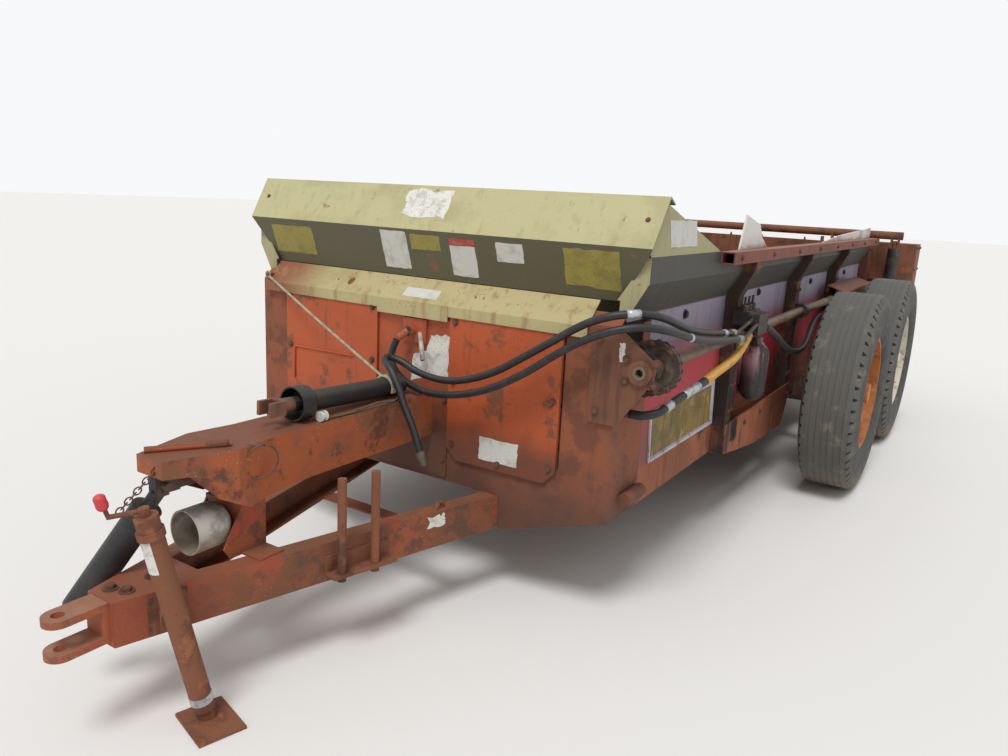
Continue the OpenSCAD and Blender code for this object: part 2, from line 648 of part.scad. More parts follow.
// Worn lugs: wedge notches round both shoulders
module lug_notches() for (i = [0:lug_count - 1]) rotate([0, 0, i * 360 / lug_count])
  polygon([[tyre_d / 2 - 34, -5], [tyre_d / 2 + 4, -12], [tyre_d / 2 + 4, 12], [tyre_d / 2 - 34, 5]]);
module tyre_shape() rotate([0, 90, 0]) difference() {
  rotate_extrude($fn = 96) polygon(concat(tyre_half, reverse([for (p = tyre_half) if (p.y > 0) [p.x, -p.y]])));
  for (z = [-tyre_half_w - 5, tyre_half_w - 32]) translate([0, 0, z]) linear_extrude(37) lug_notches();
}
module tyre(side, y) color(rubber) from_face() translate([side * wheel_x, y, hub_z]) tyre_shape();

hub_r = 62;
disc_x = 40;
// Rim and dished disc as one turned piece: x out from the hub, y across, outboard side up
module rim_shape() rotate([0, 90, 0]) difference() {
  union() {
    rotate_extrude($fn = 96) polygon([
      [rim_d / 2 + 1.7, -tyre_w / 2 + 34], [rim_d / 2 + 14, -tyre_w / 2 + 34], [rim_d / 2 + 14, -tyre_w / 2 + 26], [rim_d / 2 - 8, -tyre_w / 2 + 26],
      [rim_d / 2 - 8, -60], [rim_d / 2 - 34, -40], [rim_d / 2 - 34, 20], [rim_d / 2 - 8, 60],
      [rim_d / 2 - 8, tyre_w / 2 - 26], [rim_d / 2 + 14, tyre_w / 2 - 26], [rim_d / 2 + 14, tyre_w / 2 - 34], [rim_d / 2 + 1.7, tyre_w / 2 - 34]
    ]);
    rotate_extrude($fn = 96) polygon([
      [hub_r - 1, disc_x - 10], [hub_r - 1, disc_x + 4], [150, disc_x + 4], [rim_d / 2 - 30, -20], [rim_d / 2 - 30, -34], [146, disc_x - 10]
    ]);
    translate([0, 0, -140]) cylinder(r = hub_r, h = 230);
    translate([0, 0, 88]) cylinder(r = hub_r - 10, h = 24);
  }
  translate([0, 0, -141]) cylinder(r = spindle_r + run_gap, h = 141 + 62);
  for (a = [0:60:300]) rotate([0, 0, a + 30]) translate([185, 0, -60]) cylinder(r = 20, h = 120);
}
module wheel_rim(side, y, c) color(c) from_face() translate([side * wheel_x, y, hub_z])
  mirror([side < 0 ? 1 : 0, 0, 0]) rim_shape();

rear_axle_y = axle_y + axle_gap;
module tyre_front_left() tyre(1, axle_y);
module tyre_rear_left() tyre(1, rear_axle_y);
module tyre_front_right() tyre(-1, axle_y);
module tyre_rear_right() tyre(-1, rear_axle_y);
module rim_front_left() wheel_rim(1, axle_y, orange);
module rim_rear_left() wheel_rim(1, rear_axle_y, white);
module rim_front_right() wheel_rim(-1, axle_y, orange);
module rim_rear_right() wheel_rim(-1, rear_axle_y, white);

// Side drive: a chain from the middle of the housing turns the long shaft on the left

plate_y = -14;
module bearing_plate() color(orange) from_face() difference() {
  union() {
    along_y(plate_y, plate_y + 8) polygon([
      [hw - 90, 1040], [hw + 18, 1050], [hw + 130, 965], [hw + 130, 910], [hw + 90, 850], [hw + 10, 738], [hw - 90, 738]
    ]);
    rod_y(shaft_x, plate_y - 14, plate_y + 26, side_shaft_z, 40);
    block(hw - 80, hw - 20, plate_y + 7, -seat, 760, 1030);
  }
  rod_y(shaft_x, plate_y - 30, plate_y + 40, side_shaft_z, side_shaft_r + run_gap);
}

bearing_ys = [rib_first, rib_first + rib_pitch, box_len + 160];
module shaft_bearings() color(dark_steel) from_face() for (y = bearing_ys) difference() {
  union() {
    block(rib_x + seat, rib_x + 10, y - 30, y + 30, side_shaft_z - 75, side_shaft_z + 40);
    rod_y(shaft_x, y - 24, y + 24, side_shaft_z, side_shaft_r + 16);
  }
  rod_y(shaft_x, y - 40, y + 40, side_shaft_z, side_shaft_r + run_gap);
  block(rib_x - 30, rib_x + seat, y - 50, y + 50, side_shaft_z - 90, side_shaft_z + 90);
}

sprocket_y = 100;
pitch_r = chain_pitch / 2 / sin(180 / sprocket_teeth);
roller_r = 7.95;
module sprocket() rotate([-90, 0, 0]) difference() {
  cylinder(r = pitch_r + 7, h = 14, center = true);
  for (i = [0:sprocket_teeth - 1]) rotate([0, 0, (i + 0.5) * 360 / sprocket_teeth])
    translate([pitch_r, 0, -8]) cylinder(r = roller_r + 0.9, h = 16);
}
shaft_end_y = box_len + 205;
module side_shaft() color(rust) from_face() difference() {
  rod_y(shaft_x, plate_y - 16, shaft_end_y, side_shaft_z, side_shaft_r);
  rod_y(shaft_x, plate_y - 17, plate_y + 20, side_shaft_z, side_shaft_r - 9);
}
module side_sprocket() color(dark_steel) from_face() difference() {
  union() {
    translate([shaft_x, sprocket_y, side_shaft_z]) sprocket();
    rod_y(shaft_x, sprocket_y - 30, sprocket_y + 30, side_shaft_z, 38);
  }
  rod_y(shaft_x, sprocket_y - 31, sprocket_y + 31, side_shaft_z, side_shaft_r);
}

// The chain's loop round the side sprocket and a like one in the middle of the housing
chain_run = [shaft_x, side_shaft_z - joint_z];
chain_tilt = atan2(chain_run.y, chain_run.x);
chain_len = norm(chain_run);
plate_t = 3;
// The links that show round the side sprocket: pins on both runs and on the wrap
run_links = 9;
half_teeth = sprocket_teeth / 2;
shown_pins = concat(
  [for (i = [run_links:-1:1]) [chain_len - i * chain_pitch, pitch_r]],
  [for (i = [0:half_teeth]) [chain_len, 0] + pitch_r * [sin(i * 180 / half_teeth), cos(i * 180 / half_teeth)]],
  [for (i = [1:run_links]) [chain_len - i * chain_pitch, -pitch_r]]
);
module chain_outline(r) {
  circle(r = r);
  translate([chain_len, 0]) circle(r = r);
  translate([0, -r]) square([chain_len, 2 * r]);
}
module drive_chain() color(dark_steel) from_face() translate([0, sprocket_y, joint_z]) rotate([90, -chain_tilt, 0]) {
  for (z = [-9 - plate_t, 9]) translate([0, 0, z]) linear_extrude(plate_t) {
    difference() {
      chain_outline(pitch_r + 8);
      chain_outline(pitch_r - 8);
    }
    for (p = shown_pins) translate(p) circle(r = 11.5, $fn = 12);
  }
  translate([0, 0, -10]) linear_extrude(20) difference() {
    chain_outline(pitch_r + 7.9);
    chain_outline(pitch_r + 7 + seat);
  }
  for (p = shown_pins, z = [-11 - plate_t, 8 + plate_t]) translate([p.x, p.y, z]) cylinder(r = 4, h = 3, $fn = 12);
}

guard_y0 = box_len - 1440;
guard_y1 = box_len - 460;
guard_out = rib_x + 117;
module shaft_guard() color(orange) from_face() along_y(guard_y0, guard_y1) polygon([
  [rib_x + seat, side_shaft_z + 40], [rib_x + seat, side_shaft_z + 86], [guard_out, side_shaft_z + 54], [guard_out, side_shaft_z - 40],
  [guard_out - 5, side_shaft_z - 40], [guard_out - 5, side_shaft_z + 50], [rib_x + 5 + seat, side_shaft_z + 80], [rib_x + 5 + seat, side_shaft_z + 40]
]);

valve_y0 = rib_first - 85;
valve_y1 = rib_first + 95;
valve_z = side_shaft_z + 42;
module valve_block() color(dark_steel) from_face() {
  block(rib_x + seat, rib_x + 62, valve_y0, valve_y1, valve_z, valve_z + 58);
  for (y = [30, 85, 140]) rod_z(rib_x + 34, valve_y0 + y, valve_z + 57, valve_z + 84, 15);
  for (y = [30, 85, 140]) rod_z(rib_x + 34, valve_y0 + y, valve_z + 72, valve_z + 118, 5);
  block(rib_x + 61, rib_x + 104, valve_y0 + 20, valve_y1 - 20, valve_z + 6, valve_z + 50);
  block(rib_x + 71, rib_x + 104, valve_y0 + 20, valve_y1 - 20, side_shaft_z + 4, valve_z + 7);
  fitting(hose_a_route[len(hose_a_route) - 1], hose_a_route[len(hose_a_route) - 2], [rib_x + 77, valve_y0 + 35, valve_z + 32], 8);
  fitting(hose_b_route[len(hose_b_route) - 1], hose_b_route[len(hose_b_route) - 2], [rib_x + 94, valve_y0 + 35, valve_z + 12], 8);
  fitting(hose_yellow_route[0], hose_yellow_route[1], [rib_x + 93, valve_y0 + 45, valve_z - 16], 7);
  fitting(hose_loop_route[0], hose_loop_route[1], [rib_x + 84, valve_y1 - 42, valve_z - 8], 9);
}
// A pipe that meets a hose face to face and bends into the valve
module fitting(end, before, into, r) {
  u = unit(end - before);
  rod(end + seat * u, end + 24 * u, r + 5);
  rod(end + 14 * u, into, r);
}
oiler_y = 1420;
oiler_x = hw + 63;
module oiler() color(dark_steel) from_face() {
  translate([oiler_x, oiler_y, 0]) rotate_extrude() polygon(concat(
    [[0, 565]], arc([0, 625], 60, -90, 0, 6), [[60, 800], [50, 822], [24, 850], [24, 872], [0, 872]]
  ));
  block(hw + seat, oiler_x - 50, oiler_y - 45, oiler_y + 45, 640, 800);
}

// Hoses: round points chosen along each route, and the pitch of their rings
hose_r = 13;
thick_hose_r = 15;
tie_y = -165;
hose_a_route = [
  [205, -215, 560], [170, -213, 640], [125, -210, 715], [95, -205, 770], [50, -195, 826], [0, -170, 850], [-10, -135, 858],
  [30, -112, 842], [90, -108, 818], [160, -108, 806], [230, -106, 805], [300, -104, 818], [370, -102, 842], [440, -100, 875],
  [505, -100, 915], [570, -98, 957], [635, -95, 1000], [700, -92, 1043], [765, -88, 1080], [832, -75, 1105], [890, -35, 1115],
  [925, 30, 1108], [942, 105, 1090], [948, 180, 1068], [950, 260, 1045], [950, 340, 1028], [950, 420, 1014], [950, 500, 1002],
  [950, 580, 992], [950, 660, 983], [953, 745, 974], [955, 830, 965]
];
hose_b_route = [
  [-30, -75, 912], [-46, -82, 860], [-32, -88, 812], [12, -90, 774], [80, -96, 752], [160, -108, 747], [240, -114, 756], [320, -117, 774],
  [395, -114, 800], [465, -111, 834], [530, -108, 872], [592, -105, 914], [652, -102, 958], [715, -98, 1000], [780, -92, 1036],
  [845, -78, 1062], [900, -42, 1074], [940, 15, 1070], [962, 85, 1056], [972, 165, 1038], [978, 245, 1018], [982, 325, 1002],
  [984, 405, 990], [985, 490, 979], [985, 575, 970], [985, 660, 961], [985, 745, 953], [985, 830, 945]
];
hose_yellow_route = [
  [962, 1000, 938], [968, 920, 906], [975, 830, 884], [980, 740, 870], [980, 645, 860], [975, 555, 847], [970, 465, 832], [960, 375, 816],
  [948, 290, 800], [938, 205, 784], [930, 135, 772], [900, 88, 766], [870, 80, 765], [851, 80, 765]
];
hose_loop_route = [
  [975, 1250, 940], [982, 1330, 912], [985, 1415, 880], [985, 1500, 846], [985, 1585, 815], [985, 1670, 790], [983, 1760, 770],
  [980, 1850, 756], [975, 1940, 748], [970, 2030, 745], [962, 2120, 748], [952, 2210, 757], [940, 2300, 772], [928, 2390, 790],
  [915, 2480, 808], [905, 2570, 826], [898, 2660, 840], [896, 2750, 848]
];
// A tube swept along a route, closed at both ends; the side vector turns with the route
function unit(v) = v / norm(v);
function along(p, i) = unit(p[min(i + 1, len(p) - 1)] - p[max(i - 1, 0)]);
function turned(p, i) = i == 0 ? unit(cross(along(p, 0), [0, 0, 1])) : let (u = turned(p, i - 1), t = along(p, i)) unit(u - (u * t) * t);
module tube(route, r, sides) {
  n = len(route);
  points = [
    for (i = [0:n - 1]) let (t = along(route, i), u = turned(route, i), v = cross(t, u))
    for (k = [0:sides - 1]) route[i] + r * (u * cos(k * 360 / sides) + v * sin(k * 360 / sides))
  ];
  skin = [
    for (i = [0:n - 2]) for (k = [0:sides - 1]) let (a = i * sides + k, b = i * sides + (k + 1) % sides)
    each [[a, b, b + sides], [a, b + sides, a + sides]]
  ];
  polyhedron(points, concat(skin, [[for (k = [sides - 1:-1:0]) k]], [[for (k = [0:sides - 1]) (n - 1) * sides + k]]));
}
module hose_a() color(black) from_face() tube(hose_a_route, hose_r, 10);
module hose_b() color(black) from_face() tube(hose_b_route, hose_r, 10);
module hose_yellow() color("#c8963c") from_face() tube(hose_yellow_route, thick_hose_r, 10);
module hose_loop() color(black) from_face() tube(hose_loop_route, thick_hose_r, 10);

// Rope, taut from a stud on the ledge to a turn of rope over the stored shaft
module tie_rope() color(white) from_face() {
  tie_r = store_r + 6.3;
  loop_r = stud_r + 5 + seat;
  rod(stud + loop_r * [cos(-50), 0, sin(-50)], [20 + tie_r * cos(140), tie_y, store_axis_z(tie_y) + tie_r * sin(140)], 5);
  translate([20, tie_y, store_axis_z(tie_y)]) rotate([90, 0, 0]) rotate([0, 0, -25]) rotate_extrude(angle = 230) translate([tie_r, 0]) circle(r = 6);
  translate(stud) rotate([90, 0, 0]) rotate_extrude() translate([loop_r, 0]) circle(r = 5);
}

// Push panel and its telescopic cylinder

panel_clear = liner_t + sheet_t + 8;
tube_wall = 6;
stage_gap = 1;
pocket_y = 985;
module push_panel() color("#8d8468") from_face() {
  outline = concat(
    [for (p = wall_line(-panel_clear, floor_z + 14, rail_top_z - 40)) p],
    [for (p = reverse(wall_line(-panel_clear, floor_z + 14, rail_top_z - 40))) [-p.x, p.y]]
  );
  difference() {
    along_y(panel_y, panel_y + 8) polygon(outline);
    rod_y(0, panel_y - 1, panel_y + 10, push_z, barrel_r + 12);
  }
  difference() {
    rod_y(0, panel_y, pocket_y, push_z, barrel_r + 18);
    rod_y(0, panel_y - 1, pocket_y - 8, push_z, barrel_r + 12);
  }
  for (x = [-620, -320, 320, 620]) block(x - 4, x + 4, panel_y - 60, panel_y, floor_z + 20, rail_top_z - 60);
  block(-hw + 80, hw - 80, panel_y - 60, panel_y, floor_z + 14, floor_z + 22);
  rod_y(0, 90, pocket_y - 4, push_z, stage_r(4));
}
function stage_r(i) = barrel_r - i * (tube_wall + stage_gap);
module stage_tube(i, y0, y1) difference() {
  rod_y(0, y0, y1, push_z, stage_r(i));
  rod_y(0, y0 - 1, y1 + 1, push_z, stage_r(i) - tube_wall);
}
module push_barrel() color(dark_steel) from_face() {
  stage_tube(0, 40, 930);
  rod_y(0, 0, 42, push_z, barrel_r);
}
module push_stage_1() color(grey_steel) from_face() stage_tube(1, 50, 940);
module push_stage_2() color(grey_steel) from_face() stage_tube(2, 60, 950);
module push_stage_3() color(grey_steel) from_face() stage_tube(3, 70, 960);

// Rear end

gate_hw = rib_x - 12;
gate_y = box_len + 16;
gate_t = 16;
gate_top_z = 1240;
lift_x = 1050;
lift_y = box_len + 72;
lift_z = 1310;
lift_rod_r = 16;
loop_pipe_y = 2752;
module gate() color(rust) from_face() {
  block(-gate_hw, gate_hw, gate_y, gate_y + 6, floor_z + 12, gate_top_z);
  for (z = [floor_z + 30, 860, gate_top_z - 30]) block(-gate_hw + 70, gate_hw - 70, gate_y + 6, gate_y + gate_t + 20, z - 18, z + 18);
  rod_x(-lift_x - 50, lift_x + 50, lift_y, lift_z, 30);
  for (x = [-600, 0, 600]) block(x - 6, x + 6, gate_y, lift_y + 5, gate_top_z - 60, lift_z - 5);
  both_sides() {
    for (x = [-30, 18]) block(lift_x + x, lift_x + x + 12, lift_y - 28, lift_y + 28, lift_z - 70, lift_z);
    rod_x(lift_x - 20, lift_x + 20, lift_y, lift_z - 52, 14);
    rod_z(lift_x, lift_y, lift_low_z + 62, lift_z - 50, lift_rod_r);
  }
}

lift_low_z = sill_z + 86;
lift_top_z = rail_top_z - 70;
lift_r = 42;
pipe_x = rib_x + seat + 9;
module lift_cylinders() color(black) from_face() both_sides() {
  difference() {
    rod_z(lift_x, lift_y, lift_low_z + 20, lift_top_z, lift_r);
    rod_z(lift_x, lift_y, lift_low_z + 60, lift_top_z - 25, lift_r - 8);
    rod_z(lift_x, lift_y, lift_top_z - 35, lift_top_z + 5, lift_rod_r + run_gap);
  }
  block(rib_x + seat, lift_x + 34, lift_y - 34, lift_y + 34, lift_low_z, lift_low_z + 25);
  rod([pipe_x, loop_pipe_y, 850], [pipe_x, lift_y, 850], 9);
  rod([pipe_x, lift_y, 856], [lift_x - lift_r + 5, lift_y, lift_low_z + 120], 8);
}

rear_y0 = box_len + seat;
rear_y1 = box_len + rear_len;
rear_top_z = lift_z - 30 - 8;
low_y = box_len + 370;
low_z = 720;
top_y = box_len + 330;
top_z = 1105;
beater_shaft_r = 25;
module rear_frame() color(rust) from_face() {
  both_sides() {
    block(rib_x - 50, rib_x, rear_y0, rear_y0 + 6, sill_z, rear_top_z);
    block(rib_x - 50, rib_x, rear_y0 + 42, rear_y0 + 48, sill_z, rear_top_z);
    difference() {
      along_x(rib_x - 6, rib_x) polygon([
        [rear_y0, sill_z], [rear_y0, rear_top_z], [rear_y1 - 200, rear_top_z - 10], [rear_y1, 1060],
        [rear_y1, 640], [rear_y1 - 140, 500], [rear_y0 + 60, sill_z]
      ]);
      rod_x(rib_x - 20, rib_x + 10, low_y, low_z, beater_shaft_r + run_gap);
      rod_x(rib_x - 20, rib_x + 10, top_y, top_z, beater_shaft_r + run_gap);
    }
  }
  rod_x(-rib_x + 3, rib_x - 3, rear_y1 - 90, 545, 22);
  block(-rib_x + 3, rib_x - 3, rear_y0 + 8, rear_y0 + 60, sill_z + 2, sill_z + 60);
}

case_z = 560;
module chain_case() color(orange) from_face() {
  y0 = shaft_end_y + seat;
  y1 = y0 + 260;
  x1 = rib_x + 304;
  z1 = rail_top_z - 35;
  difference() {
    block(rib_x + seat, x1, y0, y1, case_z, z1);
    block(rib_x, x1 - sheet_t, y0 + sheet_t, y1 - sheet_t, case_z + sheet_t, z1 - sheet_t);
  }
}

// A beater: a core tube with rows of paddles that step round it
module beater(y, z, r, core_r, count, step) {
  len_hw = rib_x - 60;
  rod_x(-len_hw, len_hw, y, z, core_r);
  rod_x(-rib_x + 0.5, rib_x - 0.5, y, z, beater_shaft_r);
  for (i = [0:count - 1]) {
    x = -len_hw + 40 + i * (2 * len_hw - 80) / (count - 1);
    translate([x, y, z]) rotate([i * step, 0, 0]) block(-5, 5, -45, 45, -r * 0.98, r * 0.98);
  }
}
module lower_beater() color(rust) from_face() beater(low_y, low_z, beater_low_r * 0.97, 60, 13, 45);
module upper_beater() color(rust) from_face() beater(top_y, top_z, beater_top_r * 0.97, 50, 11, 45);

tongue_frame();
hitch_clevis();
rod_stand();
driveline_housing();
housing_post();
driveline_bell();
pto_lower_half();
pto_upper_half();
jack_bracket();
jack_tube();
jack_leg();
front_frame();
covers();
centre_panel();
ledge();
hood();
side_walls();
ribs();
top_rails();
main_frame();
floor();
bulkhead();
liners();
skirt_plates();
axle_tube();
bogie_beams();
tyre_front_left();
tyre_rear_left();
tyre_front_right();
tyre_rear_right();
rim_front_left();
rim_rear_left();
rim_front_right();
rim_rear_right();
side_sign();
bearing_plate();
shaft_bearings();
side_shaft();
side_sprocket();
input_shaft();
drive_chain();
shaft_guard();
valve_block();
oiler();
push_panel();
push_barrel();
push_stage_1();
push_stage_2();
push_stage_3();
gate();
lift_cylinders();
rear_frame();
chain_case();
lower_beater();
upper_beater();
hose_a();
hose_b();
hose_yellow();
hose_loop();
tie_rope();
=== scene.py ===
# %% [markdown]
# A towed box manure spreader, dressed for a photograph.
# The construction model already holds every plate, tube, wheel and joint at its real size.
# This lesson gives each of its parts a worn finish and adds what is too small or too soft
# for a construction model: bolts, blank decals, tape, rope strands, a crank knob.

# %% Load the construction model
import math
import random
import bpy
from mathutils import Matrix, Vector


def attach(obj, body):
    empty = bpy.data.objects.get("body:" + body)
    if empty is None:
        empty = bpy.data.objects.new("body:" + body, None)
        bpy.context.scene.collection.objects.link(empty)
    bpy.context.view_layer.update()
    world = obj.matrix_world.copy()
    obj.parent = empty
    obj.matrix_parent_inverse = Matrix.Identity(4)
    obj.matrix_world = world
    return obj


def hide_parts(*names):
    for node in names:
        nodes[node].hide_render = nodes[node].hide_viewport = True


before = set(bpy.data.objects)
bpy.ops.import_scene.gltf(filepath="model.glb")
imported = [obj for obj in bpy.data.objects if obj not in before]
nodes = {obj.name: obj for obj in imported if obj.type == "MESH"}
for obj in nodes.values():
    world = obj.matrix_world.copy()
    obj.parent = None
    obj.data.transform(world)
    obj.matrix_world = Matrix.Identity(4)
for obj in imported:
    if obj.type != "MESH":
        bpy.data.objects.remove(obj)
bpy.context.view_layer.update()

# %% [markdown]
# The camera stands ahead of the machine's front left corner, at head height.
# Its place and its three directions were worked out from the straight edges in the photograph,
# so they are written as vectors, and the roll of the hand-held shot comes with them.

# %% Camera
right = Vector((0.838631, 0.542317, 0.050901))
up = Vector((-0.162821, 0.16041, 0.973529))
back = right.cross(up)
turn = Matrix((right, up, back)).transposed().to_4x4()
lens_data = bpy.data.cameras.new("photo_camera")
lens_data.sensor_width = 36
lens_data.lens = 36 * 790 / 1008
camera = bpy.data.objects.new("photo_camera", lens_data)
camera.matrix_world = Matrix.Translation((1.847, -4.069, 1.445)) @ turn
bpy.context.scene.collection.objects.link(camera)
bpy.context.scene.camera = camera
print("lens", round(lens_data.lens, 2), "mm")

# %% [markdown]
# Places on the body are easiest to read in millimetres, measured back from its front sheet,
# as a fitter would. One small function turns them into Blender's metres. The planes that many
# small pieces lie on get names here: the covers and the panel in front, then the wall, the ribs,
# the skirt and the rail on the side. The beams of the tongue close in toward the hitch by one turn.

# %% Places on the machine
FACE = -1.775
COVER_Y, PANEL_Y = -14, -5
WALL_X, RIB_X, SKIRT_X, RAIL_X = 830, 886, 894, 950
TONGUE_LEN, NOSE_SPAN, BODY_SPAN = 1267, 110, 788
BEAM_TURN = math.atan((BODY_SPAN - NOSE_SPAN) / 2 / TONGUE_LEN)
FORWARD, BACKWARD = Vector((0, -1, 0)), Vector((0, 1, 0))
LEFT, UP = Vector((1, 0, 0)), Vector((0, 0, 1))


def at(x, y, z):
    return Vector((x / 1000, FACE + y / 1000, z / 1000))


def linear(r, g, b):
    """A colour read in 0 to 255 as Blender's linear values."""
    parts = [v / 255 for v in (r, g, b)]
    return tuple(v / 12.92 if v <= 0.04045 else ((v + 0.055) / 1.055) ** 2.4 for v in parts) + (1.0,)


print("front sheet at y", FACE, "beam turn", round(math.degrees(BEAM_TURN), 2), "degrees")

# %% [markdown]
# The hoses are free cords: each one keeps a fixed length between two fittings.
# The points are the ones the construction model uses. A Catmull-Rom curve through them
# gives the smooth line of a stiff oil hose, and a bevelled curve gives its thickness.
# Their lines are worked out first.

# %% Hose routes
ROUTES = {
    "hose_a": [
        (205, -215, 560), (170, -213, 640), (125, -210, 715), (95, -205, 770), (50, -195, 826),
        (0, -170, 850), (-10, -135, 858), (30, -112, 842), (90, -108, 818), (160, -108, 806),
        (230, -106, 805), (300, -104, 818), (370, -102, 842), (440, -100, 875), (505, -100, 915),
        (570, -98, 957), (635, -95, 1000), (700, -92, 1043), (765, -88, 1080), (832, -75, 1105),
        (890, -35, 1115), (925, 30, 1108), (942, 105, 1090), (948, 180, 1068), (950, 260, 1045),
        (950, 340, 1028), (950, 420, 1014), (950, 500, 1002), (950, 580, 992), (950, 660, 983),
        (953, 745, 974), (955, 830, 965)],
    "hose_b": [
        (-30, -75, 912), (-46, -82, 860), (-32, -88, 812), (12, -90, 774), (80, -96, 752),
        (160, -108, 747), (240, -114, 756), (320, -117, 774), (395, -114, 800), (465, -111, 834),
        (530, -108, 872), (592, -105, 914), (652, -102, 958), (715, -98, 1000), (780, -92, 1036),
        (845, -78, 1062), (900, -42, 1074), (940, 15, 1070), (962, 85, 1056), (972, 165, 1038),
        (978, 245, 1018), (982, 325, 1002), (984, 405, 990), (985, 490, 979), (985, 575, 970),
        (985, 660, 961), (985, 745, 953), (985, 830, 945)],
    "hose_yellow": [
        (962, 1000, 938), (968, 920, 906), (975, 830, 884), (980, 740, 870), (980, 645, 860),
        (975, 555, 847), (970, 465, 832), (960, 375, 816), (948, 290, 800), (938, 205, 784),
        (930, 135, 772), (900, 88, 766), (870, 80, 765), (851, 80, 765)],
    "hose_loop": [
        (975, 1250, 940), (982, 1330, 912), (985, 1415, 880), (985, 1500, 846), (985, 1585, 815),
        (985, 1670, 790), (983, 1760, 770), (980, 1850, 756), (975, 1940, 748), (970, 2030, 745),
        (962, 2120, 748), (952, 2210, 757), (940, 2300, 772), (928, 2390, 790), (915, 2480, 808),
        (905, 2570, 826), (898, 2660, 840), (896, 2750, 848)],
}


def smooth_line(points, steps=5):
    """A Catmull-Rom line through the points, in metres."""
    p = [at(*q) for q in points]
    p = [2 * p[0] - p[1]] + p + [2 * p[-1] - p[-2]]
    line = []
    for i in range(1, len(p) - 2):
        a, b, c, d = p[i - 1:i + 3]
        square, cube = 2 * a - 5 * b + 4 * c - d, 3 * b - a - 3 * c + d
        for t in (k / steps for k in range(steps)):
            line.append(0.5 * (2 * b + (c - a) * t + square * t * t + cube * t ** 3))
    return line + [p[-2]]


def line_length(line):
    return sum((b - a).length for a, b in zip(line, line[1:]))


lines = {name: smooth_line(route) for name, route in ROUTES.items()}
print({name: round(line_length(line), 3) for name, line in lines.items()})

# %% [markdown]
# Before any mesh gets made, a few helpers. A piece is a mesh with one finish that rides on one
# body of the machine, and the finishes are kept by name in one table. Sweeping a ring along a
# line makes every pipe, wire and rope strand; a thin slab makes every decal and scrap.

# %% Mesh helpers
finishes = {}


def piece(name, mesh_parts, paint, body="chassis", smooth=False):
    """One mesh object with one finish that rides on one body."""
    verts, faces = [], []
    for part_verts, part_faces in mesh_parts:
        start = len(verts)
        verts += [tuple(v) for v in part_verts]
        faces += [tuple(start + i for i in face) for face in part_faces]
    mesh = bpy.data.meshes.new(name)
    mesh.from_pydata(verts, [], faces)
    mesh.polygons.foreach_set("use_smooth", [smooth] * len(mesh.polygons))
    mesh.update()
    obj = bpy.data.objects.new(name, mesh)
    bpy.context.scene.collection.objects.link(obj)
    mesh.materials.append(finishes[paint])
    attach(obj, body)
    return obj


def swept(line, radius, sides=8):
    """A closed tube along a line. radius is one number or one for each point."""
    radii = radius if isinstance(radius, (list, tuple)) else [radius] * len(line)
    line = [Vector(p) for p in line]
    verts, side = [], None
    for i, p in enumerate(line):
        t = (line[min(i + 1, len(line) - 1)] - line[max(i - 1, 0)]).normalized()
        if side is None:
            side = t.orthogonal()
        side = (side - side.dot(t) * t).normalized()
        other = t.cross(side)
        verts += [p + radii[i] * (math.cos(a) * side + math.sin(a) * other)
                  for a in (2 * math.pi * k / sides for k in range(sides))]
    faces = []
    for i in range(len(line) - 1):
        for k in range(sides):
            a, b = i * sides + k, i * sides + (k + 1) % sides
            faces.append((a, b, b + sides, a + sides))
    last = (len(line) - 1) * sides
    faces.append(tuple(reversed(range(sides))))
    faces.append(tuple(range(last, last + sides)))
    return verts, faces


def slab(outline, lift):
    """A thin plate: its outline lies on the part below, and lift is its thickness as a vector."""
    base = [Vector(p) for p in outline]
    n = len(base)
    normal = Vector((0, 0, 0))
    for a, b in zip(base, base[1:] + base[:1]):
        normal += a.cross(b)
    if normal.dot(lift) < 0:
        base.reverse()
    verts = [p + lift for p in base] + base
    faces = [tuple(range(n)), tuple(reversed(range(n, 2 * n)))]
    faces += [(i, i + n, (i + 1) % n + n, (i + 1) % n) for i in range(n)]
    return verts, faces


def torn(corners, tear, seed, steps=7):
    """A flat outline with its edges torn by up to tear."""
    rng = random.Random(seed)
    outline = []
    for (ax, ay), (bx, by) in zip(corners, corners[1:] + corners[:1]):
        for k in range(steps):
            t = k / steps
            outline.append((ax + (bx - ax) * t + rng.uniform(-tear, tear),
                            ay + (by - ay) * t + rng.uniform(-tear, tear)))
    return outline


def ragged(rect, tear, seed, steps=7):
    """A torn rectangle x0, x1, y0, y1."""
    x0, x1, y0, y1 = rect
    return torn([(x0, y0), (x1, y0), (x1, y1), (x0, y1)], tear, seed, steps)


def rod_between(a, b, radius, sides=14):
    return swept([a, b], radius, sides)


def on_circle(centre, radius, degrees, across=LEFT, upward=UP):
    """Points on a circle, which runs from across toward upward."""
    turns = [math.radians(a) for a in degrees]
    return [centre + radius * (math.cos(a) * across + math.sin(a) * upward) for a in turns]


def arc(start, end, steps):
    return [start + (end - start) * k / steps for k in range(steps + 1)]


print("helpers ready")

# %% [markdown]
# Wear is the same story on every plate: rust breaks through in patches, rain draws streaks,
# dirt gathers low down, oil spreads round a leak and small chips fly off. Each effect could be
# drawn anew in every material. One shader group with its own numbers is easier to tune, and each
# material only says how much of it there is. Groups give masks and heights; the shader itself
# stays in the material.

# %% Node helpers
groups = {}


def feed(tree, node, inputs):
    """Each input takes a plain value or the output of another node."""
    for label, value in inputs.items():
        if isinstance(value, bpy.types.NodeSocket):
            tree.links.new(value, node.inputs[label])
        else:
            node.inputs[label].default_value = value


def add_node(tree, kind, inputs, **settings):
    node = tree.nodes.new(kind)
    for label, value in settings.items():
        setattr(node, label, value)
    feed(tree, node, inputs)
    return node


def math_node(tree, kind, a, b=0.0):
    return add_node(tree, "ShaderNodeMath", {0: a, 1: b}, operation=kind).outputs[0]


